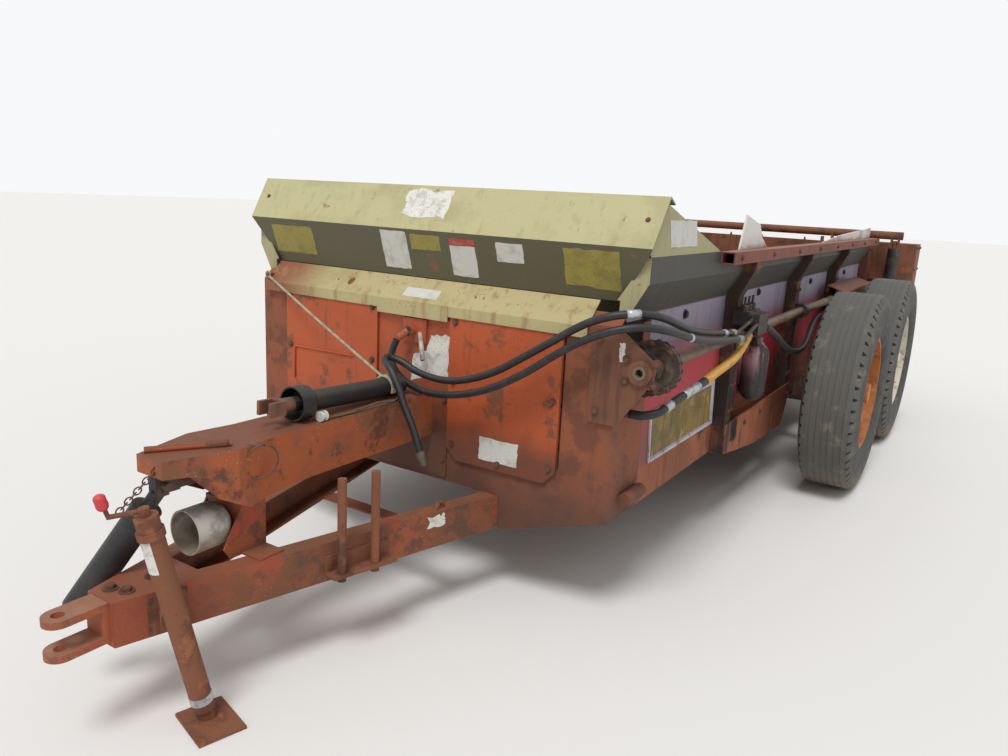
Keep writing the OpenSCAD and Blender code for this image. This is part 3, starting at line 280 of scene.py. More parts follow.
def limit_node(tree, value, low, high, to_low=0.0, to_high=1.0):
    limits = {"Value": value, "From Min": low, "From Max": high, "To Min": to_low, "To Max": to_high}
    return add_node(tree, "ShaderNodeMapRange", limits, interpolation_type="SMOOTHSTEP").outputs["Result"]


def noise_node(tree, place, scale, detail, roughness, stretch=(1, 1, 1), shift=0.0):
    moved = (shift, shift * 0.7, shift * 1.3)
    mapping = add_node(tree, "ShaderNodeMapping", {"Vector": place, "Location": moved, "Scale": stretch})
    noise = {"Vector": mapping.outputs["Vector"], "Scale": scale, "Detail": detail, "Roughness": roughness}
    return add_node(tree, "ShaderNodeTexNoise", noise).outputs[0]


def threshold(tree, value, coverage, edge):
    """Turns noise into a mask: coverage 0 leaves nothing and 1 covers all."""
    middle = math_node(tree, "SUBTRACT", 0.72, math_node(tree, "MULTIPLY", coverage, 0.44))
    low, high = (math_node(tree, kind, middle, edge) for kind in ("SUBTRACT", "ADD"))
    return limit_node(tree, value, low, high)


def swing(tree, cloud, amount):
    """Noise as a push to either side, by up to half the amount."""
    return math_node(tree, "MULTIPLY", math_node(tree, "SUBTRACT", cloud, 0.5), amount)


def spot(tree, distance, size):
    """A soft round mask: whole in the middle and gone at its size."""
    return limit_node(tree, distance, math_node(tree, "MULTIPLY", size, 0.6), size, 1.0, 0.0)


print("node helpers ready")

# %% [markdown]
# Each group starts from object space, which stays with a plate when it moves. Patches and chips
# come from noise, streaks from noise that is drawn out upright. A level fades along one axis, and
# its edge wavers. Facing looks at the normal, and the hub group at the distance from an axle.

# %% Groups of masks


def new_group(name, inputs, outputs=("Mask",)):
    """An empty group: its tree, what comes in, where results go, and object space."""
    tree = bpy.data.node_groups.new(name, "ShaderNodeTree")
    for label, value in inputs.items():
        socket = tree.interface.new_socket(label, in_out="INPUT", socket_type="NodeSocketFloat")
        socket.default_value = value
    for label in outputs:
        tree.interface.new_socket(label, in_out="OUTPUT", socket_type="NodeSocketFloat")
    groups[name] = tree
    given, result = tree.nodes.new("NodeGroupInput"), tree.nodes.new("NodeGroupOutput")
    place = tree.nodes.new("ShaderNodeTexCoord")
    return tree, given.outputs, result.inputs, place.outputs["Object"]


tree, given, result, place = new_group("patches", {"Scale": 4.0, "Coverage": 0.4, "Edge": 0.05, "Seed": 0.0})
moved = add_node(tree, "ShaderNodeVectorMath", {0: place, 1: given["Seed"]}).outputs[0]
cloud = noise_node(tree, moved, given["Scale"], 9.0, 0.66)
tree.links.new(threshold(tree, cloud, given["Coverage"], given["Edge"]), result["Mask"])

tree, given, result, place = new_group("streaks", {"Scale": 22.0, "Coverage": 0.4, "Edge": 0.08})
cloud = noise_node(tree, place, given["Scale"], 5.0, 0.6, stretch=(1, 1, 0.09), shift=3.0)
tree.links.new(threshold(tree, cloud, given["Coverage"], given["Edge"]), result["Mask"])


def level_group(name, axis, numbers, scale=6.0):
    """A mask that falls from 1 to 0 between two places on an axis."""
    tree, given, result, place = new_group(name, numbers)
    split = add_node(tree, "ShaderNodeSeparateXYZ", {0: place})
    cloud = noise_node(tree, place, scale, 6.0, 0.6)
    push = swing(tree, cloud, math_node(tree, "MULTIPLY", given["Waver"], 4.0))
    level = math_node(tree, "ADD", split.outputs[axis], push)
    tree.links.new(limit_node(tree, level, given[0], given[1], 1.0, 0.0), result["Mask"])


level_group("height", "Z", {"Low": 0.4, "High": 0.8, "Waver": 0.12}, scale=5.0)
level_group("along", "Y", {"From": -3.0, "To": -2.0, "Waver": 0.12})
level_group("across", "X", {"From": -0.8, "To": -0.4, "Waver": 0.1})

tree, given, result, place = new_group("around", {"X": 0.0, "Y": 0.0, "Z": 0.0, "Size": 0.3})
centre = add_node(tree, "ShaderNodeCombineXYZ", {axis: given[axis] for axis in "XYZ"}).outputs[0]
apart = add_node(tree, "ShaderNodeVectorMath", {0: place, 1: centre}, operation="DISTANCE").outputs["Value"]
cloud = noise_node(tree, place, 11.0, 7.0, 0.65, stretch=(1, 1, 0.4))
distance = math_node(tree, "ADD", apart, swing(tree, cloud, 0.9))
tree.links.new(spot(tree, distance, given["Size"]), result["Mask"])

tree, given, result, place = new_group("chips", {"Scale": 60.0, "Size": 0.22, "Patchy": 0.5})
cells = add_node(tree, "ShaderNodeTexVoronoi", {"Vector": place, "Scale": given["Scale"]})
dots = spot(tree, cells.outputs["Distance"], given["Size"])
where = threshold(tree, noise_node(tree, place, 7.0, 4.0, 0.6, shift=9.0), given["Patchy"], 0.05)
tree.links.new(math_node(tree, "MULTIPLY", dots, where), result["Mask"])

tree, given, result, place = new_group("facing", {"Low": 0.3, "High": 0.7})
normal = tree.nodes.new("ShaderNodeNewGeometry").outputs["Normal"]
tilt = add_node(tree, "ShaderNodeSeparateXYZ", {0: normal}).outputs["Z"]
tree.links.new(limit_node(tree, tilt, given["Low"], given["High"]), result["Mask"])

tree, given, result, place = new_group("pitting", {"Scale": 90.0}, ("Height",))
fine = noise_node(tree, place, given["Scale"], 6.0, 0.7)
coarse = noise_node(tree, place, 9.0, 3.0, 0.5)
tree.links.new(math_node(tree, "ADD", fine, math_node(tree, "MULTIPLY", coarse, 0.8)), result["Height"])

tree, given, result, place = new_group("from_hub", {"Hub Y": 0.0, "Hub Z": 0.525}, ("Radius", "Mask"))
split = add_node(tree, "ShaderNodeSeparateXYZ", {0: place}).outputs
offsets = [math_node(tree, "SUBTRACT", split[axis], given["Hub " + axis]) for axis in "YZ"]
square = math_node(tree, "ADD", *(math_node(tree, "MULTIPLY", d, d) for d in offsets))
radius = math_node(tree, "SQRT", square)
tree.links.new(radius, result["Radius"])
tree.links.new(limit_node(tree, radius, 0.44, 0.50), result["Mask"])
print("groups", sorted(groups))

# %% [markdown]
# A finish is a base colour with layers over it, from the oldest paint to the newest dirt.
# Each layer names one group, its numbers, its colour and how strongly it covers. Pictures of rust
# would do it too, but layers fit any size of plate and never repeat. Roughness and metal are plain
# numbers on the shader, as they hardly change over one finish.

# %% Layers of a finish
def use_group(tree, name, numbers):
    return add_node(tree, "ShaderNodeGroup", numbers, node_tree=groups[name]).outputs


def roughen(tree, height, strength):
    """Light falls as on a surface whose bumps are up to four millimetres high."""
    bump = add_node(tree, "ShaderNodeBump", {"Strength": strength, "Distance": 0.004, "Height": height})
    feed(tree, tree.nodes["Principled BSDF"], {"Normal": bump.outputs["Normal"]})


def finish(name, base, rough, bump, layers, metal=0.0, pits=90.0):
    """A material whose colour starts at base and takes each layer's tint by its mask."""
    made = bpy.data.materials.new(name)
    made.use_nodes = True
    made.diffuse_color = linear(*base)
    tree = made.node_tree
    shader = tree.nodes["Principled BSDF"]
    feed(tree, shader, {"Roughness": rough, "Metallic": metal, "Base Color": linear(*base)})
    colour = linear(*base)
    for group, numbers, tint, strength in layers:
        factor = use_group(tree, group, numbers)["Mask"]
        if strength < 1:
            factor = math_node(tree, "MULTIPLY", factor, strength)
        mix = add_node(tree, "ShaderNodeMix", {0: factor, 6: colour, 7: linear(*tint)}, data_type="RGBA")
        colour = mix.outputs[2]
    feed(tree, shader, {"Base Color": colour})
    if bump:
        roughen(tree, use_group(tree, "pitting", {"Scale": pits})["Height"], bump)
    return made


RUST = (114, 71, 48)
DARK_RUST = (78, 48, 36)
ORANGE = (182, 84, 42)
DUST = (150, 132, 108)
OIL_BLACK = ("around", {"X": 0.9, "Y": FACE + 1.13, "Z": 0.66, "Size": 0.25}, (32, 27, 24), 0.85)


def patches(scale, coverage, tint, strength, edge=0.05, seed=0.0):
    return ("patches", {"Scale": scale, "Coverage": coverage, "Edge": edge, "Seed": seed}, tint, strength)


def streaks(scale, coverage, tint, strength):
    return ("streaks", {"Scale": scale, "Coverage": coverage}, tint, strength)


def chips(scale, size, patchy, tint, strength):
    return ("chips", {"Scale": scale, "Size": size, "Patchy": patchy}, tint, strength)


def height(low, high, tint, strength, waver=0.08):
    return ("height", {"Low": low, "High": high, "Waver": waver}, tint, strength)


def facing_up(tint, strength):
    return ("facing", {"Low": 0.3, "High": 0.75}, tint, strength)


# Painted shade: faces that lean under take a darker tint.
def painted_shade_below(tint, strength):
    return ("facing", {"Low": 0.1, "High": -0.2}, tint, strength)


def along(start, end, tint, strength, waver):
    return ("along", {"From": start, "To": end, "Waver": waver}, tint, strength)


def across(start, end, tint, strength, waver):
    return ("across", {"From": start, "To": end, "Waver": waver}, tint, strength)


def add_finishes(recipes):
    """Each recipe lists what finish takes after the name."""
    for name, recipe in recipes.items():
        finishes[name] = finish(name, *recipe)
    print("finishes", ", ".join(recipes))


print("layers ready")

# %% [markdown]
# Most of the machine was one orange and has rusted. Real paint dulls, blisters and then lets the
# rust through, so each plate gets a dull orange, larger brown clouds, small dark specks and a foot
# that darkens toward the bottom; on the centre panel that darker foot is painted shade. One shared rust
# would look sprayed on, so the covers stay the brightest and the frames the brownest, as in the photograph.

# %% Rust and orange paint
add_finishes({
    "cover_orange": (ORANGE, 0.6, 0.25, [
        patches(3.0, 0.42, (162, 76, 42), 0.7, 0.12), patches(7.0, 0.3, RUST, 0.9, 0.04, 4.0),
        streaks(26, 0.16, (104, 64, 44), 0.5), chips(110, 0.22, 0.55, DARK_RUST, 0.8),
        height(0.5, 0.7, (92, 58, 42), 0.85)]),
    # The centre panel's darker foot is painted shade.
    "panel_orange": ((176, 84, 46), 0.6, 0.25, [
        patches(5.0, 0.4, (150, 68, 40), 0.8, 0.1, 2.0), chips(110, 0.22, 0.55, DARK_RUST, 0.8),
        streaks(24, 0.2, (96, 62, 46), 0.5), height(0.5, 0.95, (84, 60, 46), 0.9, 0.1)]),
    "tongue_orange": ((150, 79, 49), 0.72, 0.25, [
        patches(4.0, 0.55, RUST, 0.9, 0.1), patches(9.0, 0.38, (92, 62, 46), 0.85, 0.05, 7.0),
        chips(100, 0.2, 0.5, (188, 132, 98), 0.6), along(-2.98, -2.62, (174, 80, 50), 0.5, 0.07),
        patches(6.0, 0.27, (168, 66, 42), 0.8, 0.04, 5.0), facing_up((122, 84, 62), 0.5)]),
    "nose_orange": ((168, 92, 60), 0.72, 0.25, [
        patches(7.0, 0.45, (132, 78, 56), 0.9, 0.08), patches(12.0, 0.3, (190, 140, 112), 0.6, 0.08, 3.0),
        chips(90, 0.2, 0.5, DARK_RUST, 0.7), facing_up((140, 108, 88), 0.6)]),
    "housing_orange": ((166, 86, 48), 0.72, 0.25, [
        patches(5.0, 0.5, (126, 80, 57), 0.9, 0.08, 1.0), chips(90, 0.2, 0.42, (206, 160, 122), 0.7),
        patches(8.0, 0.3, DARK_RUST, 0.8, 0.05, 3.0), facing_up((112, 68, 48), 0.9)]),
    "drive_orange": ((114, 73, 51), 0.7, 0.25, [
        patches(7.0, 0.45, (98, 64, 49), 0.9, 0.08), chips(90, 0.2, 0.4, (176, 130, 98), 0.6),
        streaks(30, 0.3, DARK_RUST, 0.6)]),
    "rust_brown": ((117, 74, 52), 0.82, 0.35, [
        patches(4.0, 0.5, (138, 86, 58), 0.8, 0.12), patches(9.0, 0.36, DARK_RUST, 0.8, 0.06, 3.0),
        chips(60, 0.2, 0.4, (170, 98, 62), 0.7), streaks(26, 0.3, (96, 58, 44), 0.6)]),
    "front_rust": ((130, 78, 54), 0.78, 0.3, [
        patches(3.5, 0.5, (154, 82, 52), 0.6, 0.12, 2.0), patches(8.0, 0.4, (104, 62, 46), 0.8, 0.06),
        streaks(24, 0.16, (100, 64, 48), 0.5), chips(110, 0.2, 0.5, DARK_RUST, 0.7),
        height(0.3, 0.66, (84, 57, 45), 0.85)]),
    "sill_rust": ((138, 80, 54), 0.8, 0.25, [
        patches(5.0, 0.45, (166, 98, 64), 0.8, 0.1, 6.0), streaks(26, 0.26, (92, 58, 46), 0.6),
        chips(60, 0.2, 0.4, (184, 116, 80), 0.6), OIL_BLACK]),
    "rail_red": ((128, 75, 59), 0.72, 0.25, [
        patches(5.0, 0.5, (112, 62, 46), 0.9, 0.1), chips(60, 0.22, 0.4, (186, 120, 92), 0.7),
        facing_up((152, 100, 82), 0.6)]),
    "rib_dark": ((66, 47, 40), 0.8, 0.25, [
        patches(6.0, 0.5, (64, 46, 40), 0.9, 0.1), patches(8.0, 0.32, (120, 74, 54), 0.8, 0.05, 3.0),
        streaks(24, 0.3, (46, 38, 34), 0.6), OIL_BLACK]),
    "under_rust": ((92, 62, 48), 0.9, 0.35, [
        patches(5.0, 0.5, (66, 48, 40), 0.9, 0.1), patches(8.0, 0.4, DUST, 0.5, 0.08, 3.0)]),
    "jack_rust": ((130, 82, 56), 0.8, 0.35, [
        patches(9.0, 0.45, (108, 64, 46), 0.9, 0.08), patches(14.0, 0.3, (158, 98, 64), 0.8, 0.05, 3.0),
        chips(70, 0.2, 0.5, (74, 48, 36), 0.8)]),
    "case_orange": ((132, 80, 56), 0.75, 0.25, [
        patches(5.0, 0.45, (104, 68, 50), 0.9, 0.1), patches(9.0, 0.3, (154, 94, 62), 0.7, 0.05, 4.0),
        streaks(24, 0.3, DARK_RUST, 0.6)]),
})

# %% [markdown]
# The hood and ledge are a yellowed tan. The hood's face that leans under gets painted shade, much darker,
# and that face is found by its normal. The walls carry a band of lilac over a faded red, and a grey flare
# above.
# Bands could be separate pieces, but on the real wall they are only paint, so heights divide them.

# %% Hood, walls and box
add_finishes({
    "hood_tan": ((184, 178, 134), 0.6, 0.12, [
        patches(5.0, 0.32, (160, 150, 108), 0.6, 0.12), chips(90, 0.16, 0.45, (134, 118, 80), 0.6),
        # The dark olive on the hood's face that leans under is painted shade.
        streaks(26, 0.2, (150, 139, 98), 0.4), painted_shade_below((78, 74, 54), 0.93),
        patches(12.0, 0.13, (130, 84, 54), 0.9, 0.03, 5.0)]),
    "ledge_tan": ((182, 170, 124), 0.62, 0.15, [
        patches(6.0, 0.34, (164, 148, 100), 0.8, 0.1), across(-0.72, -0.42, (136, 80, 52), 0.95, 0.06),
        chips(60, 0.2, 0.45, (130, 84, 54), 0.9), streaks(24, 0.28, (150, 120, 80), 0.7)]),
    "wall_sheet": ((66, 64, 57), 0.6, 0.12, [
        height(1.08, 1.092, (152, 143, 162), 1.0, 0.0), height(0.86, 1.0, (178, 38, 50), 0.95, 0.015),
        height(0.62, 0.76, (120, 74, 58), 0.8, 0.03), streaks(22, 0.28, (92, 80, 78), 0.5),
        chips(60, 0.2, 0.35, (84, 60, 48), 0.8), OIL_BLACK]),
    "liner_sheet": ((222, 220, 214), 0.6, 0.15, [
        height(1.27, 1.31, (128, 116, 98), 0.9, 0.02), height(1.0, 1.28, (104, 88, 66), 0.8, 0.08),
        patches(3.0, 0.35, (92, 80, 64), 0.5, 0.1)]),
    "stained_steel": ((116, 98, 72), 0.85, 0.35, [
        patches(3.0, 0.5, (86, 68, 48), 0.9, 0.12), patches(7.0, 0.35, (140, 126, 100), 0.6, 0.08, 3.0),
        streaks(20, 0.4, (70, 56, 42), 0.7)]),
    "grey_sheet": ((118, 114, 104), 0.7, 0.25, [
        patches(4.0, 0.4, (92, 84, 72), 0.8, 0.1), streaks(22, 0.4, (84, 70, 56), 0.7)]),
})

# %% [markdown]
# Shafts, cylinders and hoses keep cleaner faces, as they are handled or wiped by use. Only the
# bright rods are clearly metal; oiled or rusty steel scatters light like a dull paint. The guards
# turn to rusty steel past their ends, where the yokes begin.

# %% Drive line and wheels
add_finishes({
    "oily_black": ((48, 42, 38), 0.5, 0.3, [
        patches(14.0, 0.45, (26, 24, 24), 0.9, 0.08), patches(20.0, 0.3, (98, 76, 60), 0.7, 0.05, 3.0)]),
    "machined_dark": ((98, 92, 84), 0.55, 0.25, [
        patches(12.0, 0.5, (74, 58, 48), 0.9, 0.08),
        patches(9.0, 0.3, (128, 118, 104), 0.6, 0.05, 3.0)], 0.3),
    "shaft_brown": ((120, 102, 84), 0.6, 0.25, [
        patches(9.0, 0.45, (96, 68, 52), 0.9, 0.08), streaks(20, 0.3, (140, 126, 106), 0.5)], 0.2),
    "bare_steel": ((150, 146, 138), 0.4, 0.08, [
        patches(8.0, 0.35, (112, 92, 74), 0.8, 0.06), streaks(26, 0.3, (98, 84, 72), 0.5)], 0.7),
    "bell_grey": ((190, 185, 175), 0.7, 0.25, [
        patches(16.0, 0.45, (136, 130, 120), 0.8, 0.08), chips(90, 0.2, 0.5, (186, 184, 178), 0.6),
        height(0.43, 0.5, DUST, 0.6, 0.03)]),
    "guard_lower": ((30, 30, 32), 0.55, 0.12, [
        patches(10.0, 0.4, (54, 52, 50), 0.7, 0.1), facing_up((78, 74, 70), 0.45),
        along(-2.868, -2.88, (92, 68, 54), 0.95, 0.0)]),
    "guard_black": ((30, 30, 32), 0.5, 0.12, [
        along(-2.412, -2.406, (128, 84, 60), 1.0, 0.0), patches(10.0, 0.4, (54, 52, 50), 0.7, 0.1),
        facing_up((78, 74, 70), 0.45), chips(80, 0.2, 0.3, (96, 92, 88), 0.5)]),
    "chain_dark": ((74, 58, 48), 0.6, 0.2, [
        patches(24.0, 0.45, (48, 38, 34), 0.9, 0.08), patches(30.0, 0.3, (120, 84, 60), 0.8, 0.05, 3.0)]),
    "rim_orange": ((184, 114, 62), 0.7, 0.25, [
        patches(7.0, 0.4, (142, 92, 58), 0.9, 0.08), chips(60, 0.2, 0.45, (96, 60, 44), 0.9),
        patches(9.0, 0.25, (206, 146, 94), 0.6, 0.05, 5.0)]),
    "rim_white": ((214, 208, 190), 0.6, 0.25, [
        patches(7.0, 0.3, (176, 160, 132), 0.8, 0.1), chips(60, 0.18, 0.45, (130, 84, 56), 0.9),
        patches(12.0, 0.2, (140, 92, 62), 0.9, 0.04, 5.0)]),
    "hose_black": ((28, 28, 30), 0.5, 0.06, [
        patches(20.0, 0.35, (52, 50, 48), 0.7, 0.1), facing_up((58, 56, 56), 0.4)]),
    "sleeve_yellow": ((206, 152, 60), 0.55, 0.1, [
        patches(16.0, 0.35, (176, 120, 50), 0.8, 0.08), facing_up((226, 184, 92), 0.5)]),
})

# %% [markdown]
# Small things need little: paper and decals are pale with worn specks, rope is two straw tones and
# bolts are dark. Their texture scales are finer, because the pieces are smaller.

# %% Decals, rope and bolts
add_finishes({
    "sign_pale": ((196, 190, 200), 0.55, 0.08, [
        patches(9.0, 0.35, (150, 142, 156), 0.8, 0.1), chips(60, 0.2, 0.45, (110, 92, 80), 0.8),
        streaks(22, 0.25, (96, 78, 66), 0.7)]),
    "sign_yellow": ((136, 110, 48), 0.6, 0.08, [
        patches(9.0, 0.45, (104, 86, 44), 0.9, 0.1), patches(14.0, 0.3, (168, 142, 70), 0.8, 0.05, 3.0),
        streaks(30, 0.35, (78, 66, 44), 0.7)]),
    "decal_yellow": ((150, 138, 62), 0.55, 0.0, [
        patches(18.0, 0.4, (126, 116, 58), 0.8, 0.1), chips(90, 0.22, 0.55, (88, 84, 62), 0.8)]),
    "decal_white": ((204, 203, 197), 0.55, 0.0, [
        patches(18.0, 0.3, (176, 172, 158), 0.8, 0.1), chips(90, 0.18, 0.5, (140, 132, 110), 0.7)]),
    "decal_red": ((168, 62, 54), 0.55, 0.0, [patches(18.0, 0.35, (190, 120, 106), 0.7, 0.1)]),
    "torn_paper": ((222, 220, 212), 0.8, 0.3, [
        patches(22.0, 0.4, (186, 182, 170), 0.8, 0.06), chips(120, 0.24, 0.6, (92, 84, 78), 0.9)]),
    "silver_tape": ((186, 188, 190), 0.35, 0.2, [patches(30.0, 0.35, (132, 132, 132), 0.8, 0.06)], 0.4),
    "rope_pale": ((180, 172, 150), 0.95, 0.3, [patches(40.0, 0.4, (132, 122, 102), 0.8, 0.1)], 0.0, 400.0),
    "cord_dark": ((104, 92, 74), 0.95, 0.3, [patches(40.0, 0.4, (70, 60, 48), 0.8, 0.1)], 0.0, 400.0),
    "knob_red": ((206, 62, 66), 0.45, 0.05, [patches(30.0, 0.3, (170, 60, 58), 0.7, 0.1)]),
    "bolt_rust": ((104, 68, 50), 0.75, 0.1, [patches(30.0, 0.4, (72, 50, 40), 0.8, 0.1)]),
    "bolt_black": ((34, 30, 30), 0.6, 0.1, [patches(30.0, 0.4, (60, 50, 46), 0.8, 0.1)]),
    "wire_grey": ((92, 74, 62), 0.7, 0.0, [patches(30.0, 0.4, (70, 52, 42), 0.8, 0.1)]),
    "oil_stain": ((26, 22, 20), 0.35, 0.15, [patches(20.0, 0.4, (48, 40, 34), 0.8, 0.1)]),
})

# %% [markdown]
# Oil has run down the chain oiler, so its finish goes from a pinkish top to black streaks.
# Tyre rubber needs one more idea: the distance from the hub. It sets the worn grey tread apart
# from the darker wall, and a sine of it raises the fine rings that a mould leaves on the wall.

# %% Oiler and tyre finishes
add_finishes({
    "oiler_pink": ((170, 132, 136), 0.5, 0.25, [
        streaks(26, 0.52, (38, 31, 31), 0.95), height(0.66, 0.78, (36, 30, 30), 0.9, 0.03),
        chips(60, 0.24, 0.4, (112, 78, 66), 0.8)]),
})
WALL_RING_PITCH = 520.0
AXLES = {"front": FACE + 2.225, "rear": FACE + 3.465}


def tyre_finish(name, hub_y):
    made = finish(name, (66, 66, 66), 0.85, 0.0, [
        patches(3.0, 0.5, (84, 82, 78), 0.8, 0.15), patches(9.0, 0.35, (52, 52, 54), 0.7, 0.1, 4.0),
        ("from_hub", {"Hub Y": hub_y}, (100, 98, 93), 0.7),
        patches(12.0, 0.22, (140, 132, 118), 0.6, 0.08, 2.0), height(0.03, 0.2, (134, 120, 100), 0.6, 0.04)])
    tree = made.node_tree
    hub = use_group(tree, "from_hub", {"Hub Y": hub_y})
    rings = math_node(tree, "SINE", math_node(tree, "MULTIPLY", hub["Radius"], WALL_RING_PITCH))
    on_wall = math_node(tree, "MULTIPLY", rings, math_node(tree, "SUBTRACT", 1.0, hub["Mask"]))
    grit = use_group(tree, "pitting", {"Scale": 110.0})["Height"]
    roughen(tree, math_node(tree, "ADD", grit, math_node(tree, "MULTIPLY", on_wall, 0.25)), 0.35)
    return made


for end, hub_y in AXLES.items():
    finishes["tyre_" + end] = tyre_finish("tyre_" + end, hub_y)
print("tyre finishes at", AXLES)

# %% [markdown]
# Now every part of the construction model takes its finish. Its own mesh isn't touched: the
# finish only replaces the plain colour it came with. A table from finish to parts shows at a
# glance what is painted alike on the real machine, such as both front rims or the two frames.

# %% Dress the construction model
dress = {
    "cover_orange": ["covers"], "panel_orange": ["centre_panel"],
    "ledge_tan": ["ledge"], "hood_tan": ["hood"],
    "tongue_orange": ["tongue_frame", "housing_post"], "nose_orange": ["hitch_clevis"],
    "housing_orange": ["driveline_housing"], "drive_orange": ["bearing_plate", "shaft_guard"],
    "rust_brown": ["rod_stand", "gate", "jack_bracket"], "front_rust": ["front_frame"],
    "sill_rust": ["skirt_plates", "main_frame"], "rib_dark": ["ribs"],
    "rail_red": ["top_rails", "rear_frame"],
    "under_rust": ["axle_tube", "bogie_beams", "lower_beater", "upper_beater"],
    "wall_sheet": ["side_walls"], "liner_sheet": ["liners"], "grey_sheet": ["bulkhead"],
    "stained_steel": ["floor", "push_panel"], "case_orange": ["chain_case"],
    "oily_black": ["valve_block", "shaft_bearings", "lift_cylinders", "push_barrel"],
    "machined_dark": ["side_sprocket", "input_shaft"], "chain_dark": ["drive_chain"],
    "shaft_brown": ["side_shaft"], "bell_grey": ["driveline_bell"],
    "guard_black": ["pto_upper_half"], "guard_lower": ["pto_lower_half"],
    "bare_steel": ["push_stage_1", "push_stage_2", "push_stage_3"], "jack_rust": ["jack_tube", "jack_leg"],
    "rim_orange": ["rim_front_left", "rim_front_right"], "rim_white": ["rim_rear_left", "rim_rear_right"],
    "tyre_front": ["tyre_front_left", "tyre_front_right"], "tyre_rear": ["tyre_rear_left", "tyre_rear_right"],
    "sign_pale": ["side_sign"], "oiler_pink": ["oiler"], "rope_pale": ["tie_rope"],
}
for finish_name, names in dress.items():
    for name in names:
        mesh = nodes[name].data
        mesh.materials.clear()
        mesh.materials.append(finishes[finish_name])
undressed = [n for n in nodes if not n.startswith("hose") and n not in sum(dress.values(), [])]
print("dressed", sum(len(v) for v in dress.values()), "without a finish", undressed)

# %% [markdown]
# Oil hoses are stiff rubber tubes with tape or a sleeve where they rub. Each hose is a curve of
# one spline with a round bevel: a mesh tube would do, but the curve keeps the exact line.
# Sleeves, tape and ferrules are wider tubes over shares of the same line.

# %% Hoses
def hose(name, radius, finish_name="hose_black"):
    line = lines[name]
    curve = bpy.data.curves.new(name + "_line", "CURVE")
    curve.dimensions = "3D"
    curve.bevel_depth = radius
    curve.bevel_resolution = 3
    curve.use_fill_caps = True
    spline = curve.splines.new("POLY")
    spline.points.add(len(line) - 1)
    for point, place_on_line in zip(spline.points, line):
        point.co = (*place_on_line, 1)
    spline.use_smooth = True
    obj = bpy.data.objects.new(name + "_hose", curve)
    bpy.context.scene.collection.objects.link(obj)
    curve.materials.append(finishes[finish_name])
    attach(obj, "chassis")
    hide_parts(name)


def stretch(name, start, end, radius, sides=12):
    """A closed sleeve round a hose, between two shares of its length."""
    line = lines[name]
    total = line_length(line)
    run, kept = 0.0, []
    for a, b in zip(line, line[1:]):
        if start * total <= run <= end * total:
            kept.append(a)
        run += (b - a).length
    return swept(kept, radius, sides)


def sleeve(name, paint, route, *spans, slot=None):
    """Tape, a sleeve or a ferrule: each span is a start, an end and a radius."""
    piece(name, [stretch(route, *span) for span in spans], paint, smooth=True)


sleeve("hose_a_tape", "silver_tape", "hose_a", (0.60, 0.625, 0.0148), (0.93, 0.95, 0.0150))
sleeve("hose_b_tape", "silver_tape", "hose_b", (0.70, 0.72, 0.0148))
sleeve("hose_yellow_tape", "silver_tape", "hose_yellow", (0.60, 0.72, 0.0166), (0.80, 0.86, 0.0166))
sleeve("yellow_sleeve", "sleeve_yellow", "hose_yellow", (0.0, 0.56, 0.0172), slot="yellow_sleeve")
coupler_line = [at(205, -215, 562), at(212, -215, 546), at(219, -215, 530), at(224, -215, 516)]
coupler_tube = swept(coupler_line, [0.0165, 0.0165, 0.0125, 0.0125], 12)
coupler = piece("hose_coupler", [coupler_tube], "machined_dark")
sleeve("hose_a_ferrule", "bare_steel", "hose_a", (0.972, 1.0, 0.0165))
sleeve("hose_b_ferrule", "bare_steel", "hose_b", (0.965, 1.0, 0.0165))
hose("hose_a", 0.013)
hose("hose_b", 0.013)
hose("hose_yellow", 0.015)
hose("hose_loop", 0.015)
print("hoses made")

# %% [markdown]
# Rope is three strands laid round each other. A twisted bump on a round bar would look the same
# from afar; a helix per strand holds up close by too. The rope is taut between a stud on the ledge
# and the stored drive shaft, so it replaces the plain solid and follows the same line, with one
# turn round the stud and four round the shaft.

# %% Rope


def laid_rope(line, radius, turns_per_metre=28):
    """Three twisted strands along a line, as a list of mesh parts."""
    strands, sides = 3, 6
    total = line_length(line)
    steps = max(8, int(total * turns_per_metre * 8))
    lengths = [0.0]
    for a, b in zip(line, line[1:]):
        lengths.append(lengths[-1] + (b - a).length)
    side, frames, i = None, [], 0
    for k in range(steps + 1):
        s = total * k / steps
        while i < len(line) - 2 and lengths[i + 1] < s:
            i += 1
        part = (s - lengths[i]) / max(lengths[i + 1] - lengths[i], 1e-9)
        p = line[i].lerp(line[i + 1], min(part, 1.0))
        t = (line[i + 1] - line[i]).normalized()
        if side is None:
            side = t.orthogonal()
        side = (side - side.dot(t) * t).normalized()
        frames.append((p, side, t.cross(side), s))
    parts = []
    for strand in range(strands):
        path = []
        for p, u, v, s in frames:
            a = 2 * math.pi * (strand / strands + s * turns_per_metre)
            path.append(p + radius * 0.5 * (math.cos(a) * u + math.sin(a) * v))
        parts.append(swept(path, radius * 0.56, sides))
    return parts


STUD, SHAFT = at(-784, -20, 1080), at(20, -165, 759.0)
ROPE_R, STUD_TURN_R, SHAFT_TURN_R = 0.0052, 0.0113, 0.0403
rope_top = on_circle(STUD, STUD_TURN_R, [-50])[0]
rope_low = on_circle(SHAFT, SHAFT_TURN_R, [140])[0]
sag = Vector((0, 0, -0.004))
rope_parts = laid_rope([rope_top, rope_top.lerp(rope_low, 0.5) + sag, rope_low], ROPE_R)
rope_parts += laid_rope(on_circle(STUD, STUD_TURN_R, arc(0, 350, 24)), 0.0045, 40)
for k in range(4):
    centre = SHAFT + Vector((0, -0.011 * k, 0.0005 * k))
    rope_parts += laid_rope(on_circle(centre, SHAFT_TURN_R + 0.0002, arc(-24, 204, 36)), ROPE_R, 30)
rope = piece("rope_strands", rope_parts, "rope_pale", smooth=True)
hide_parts("tie_rope")
print("rope triangles about", len(rope.data.polygons) * 2)

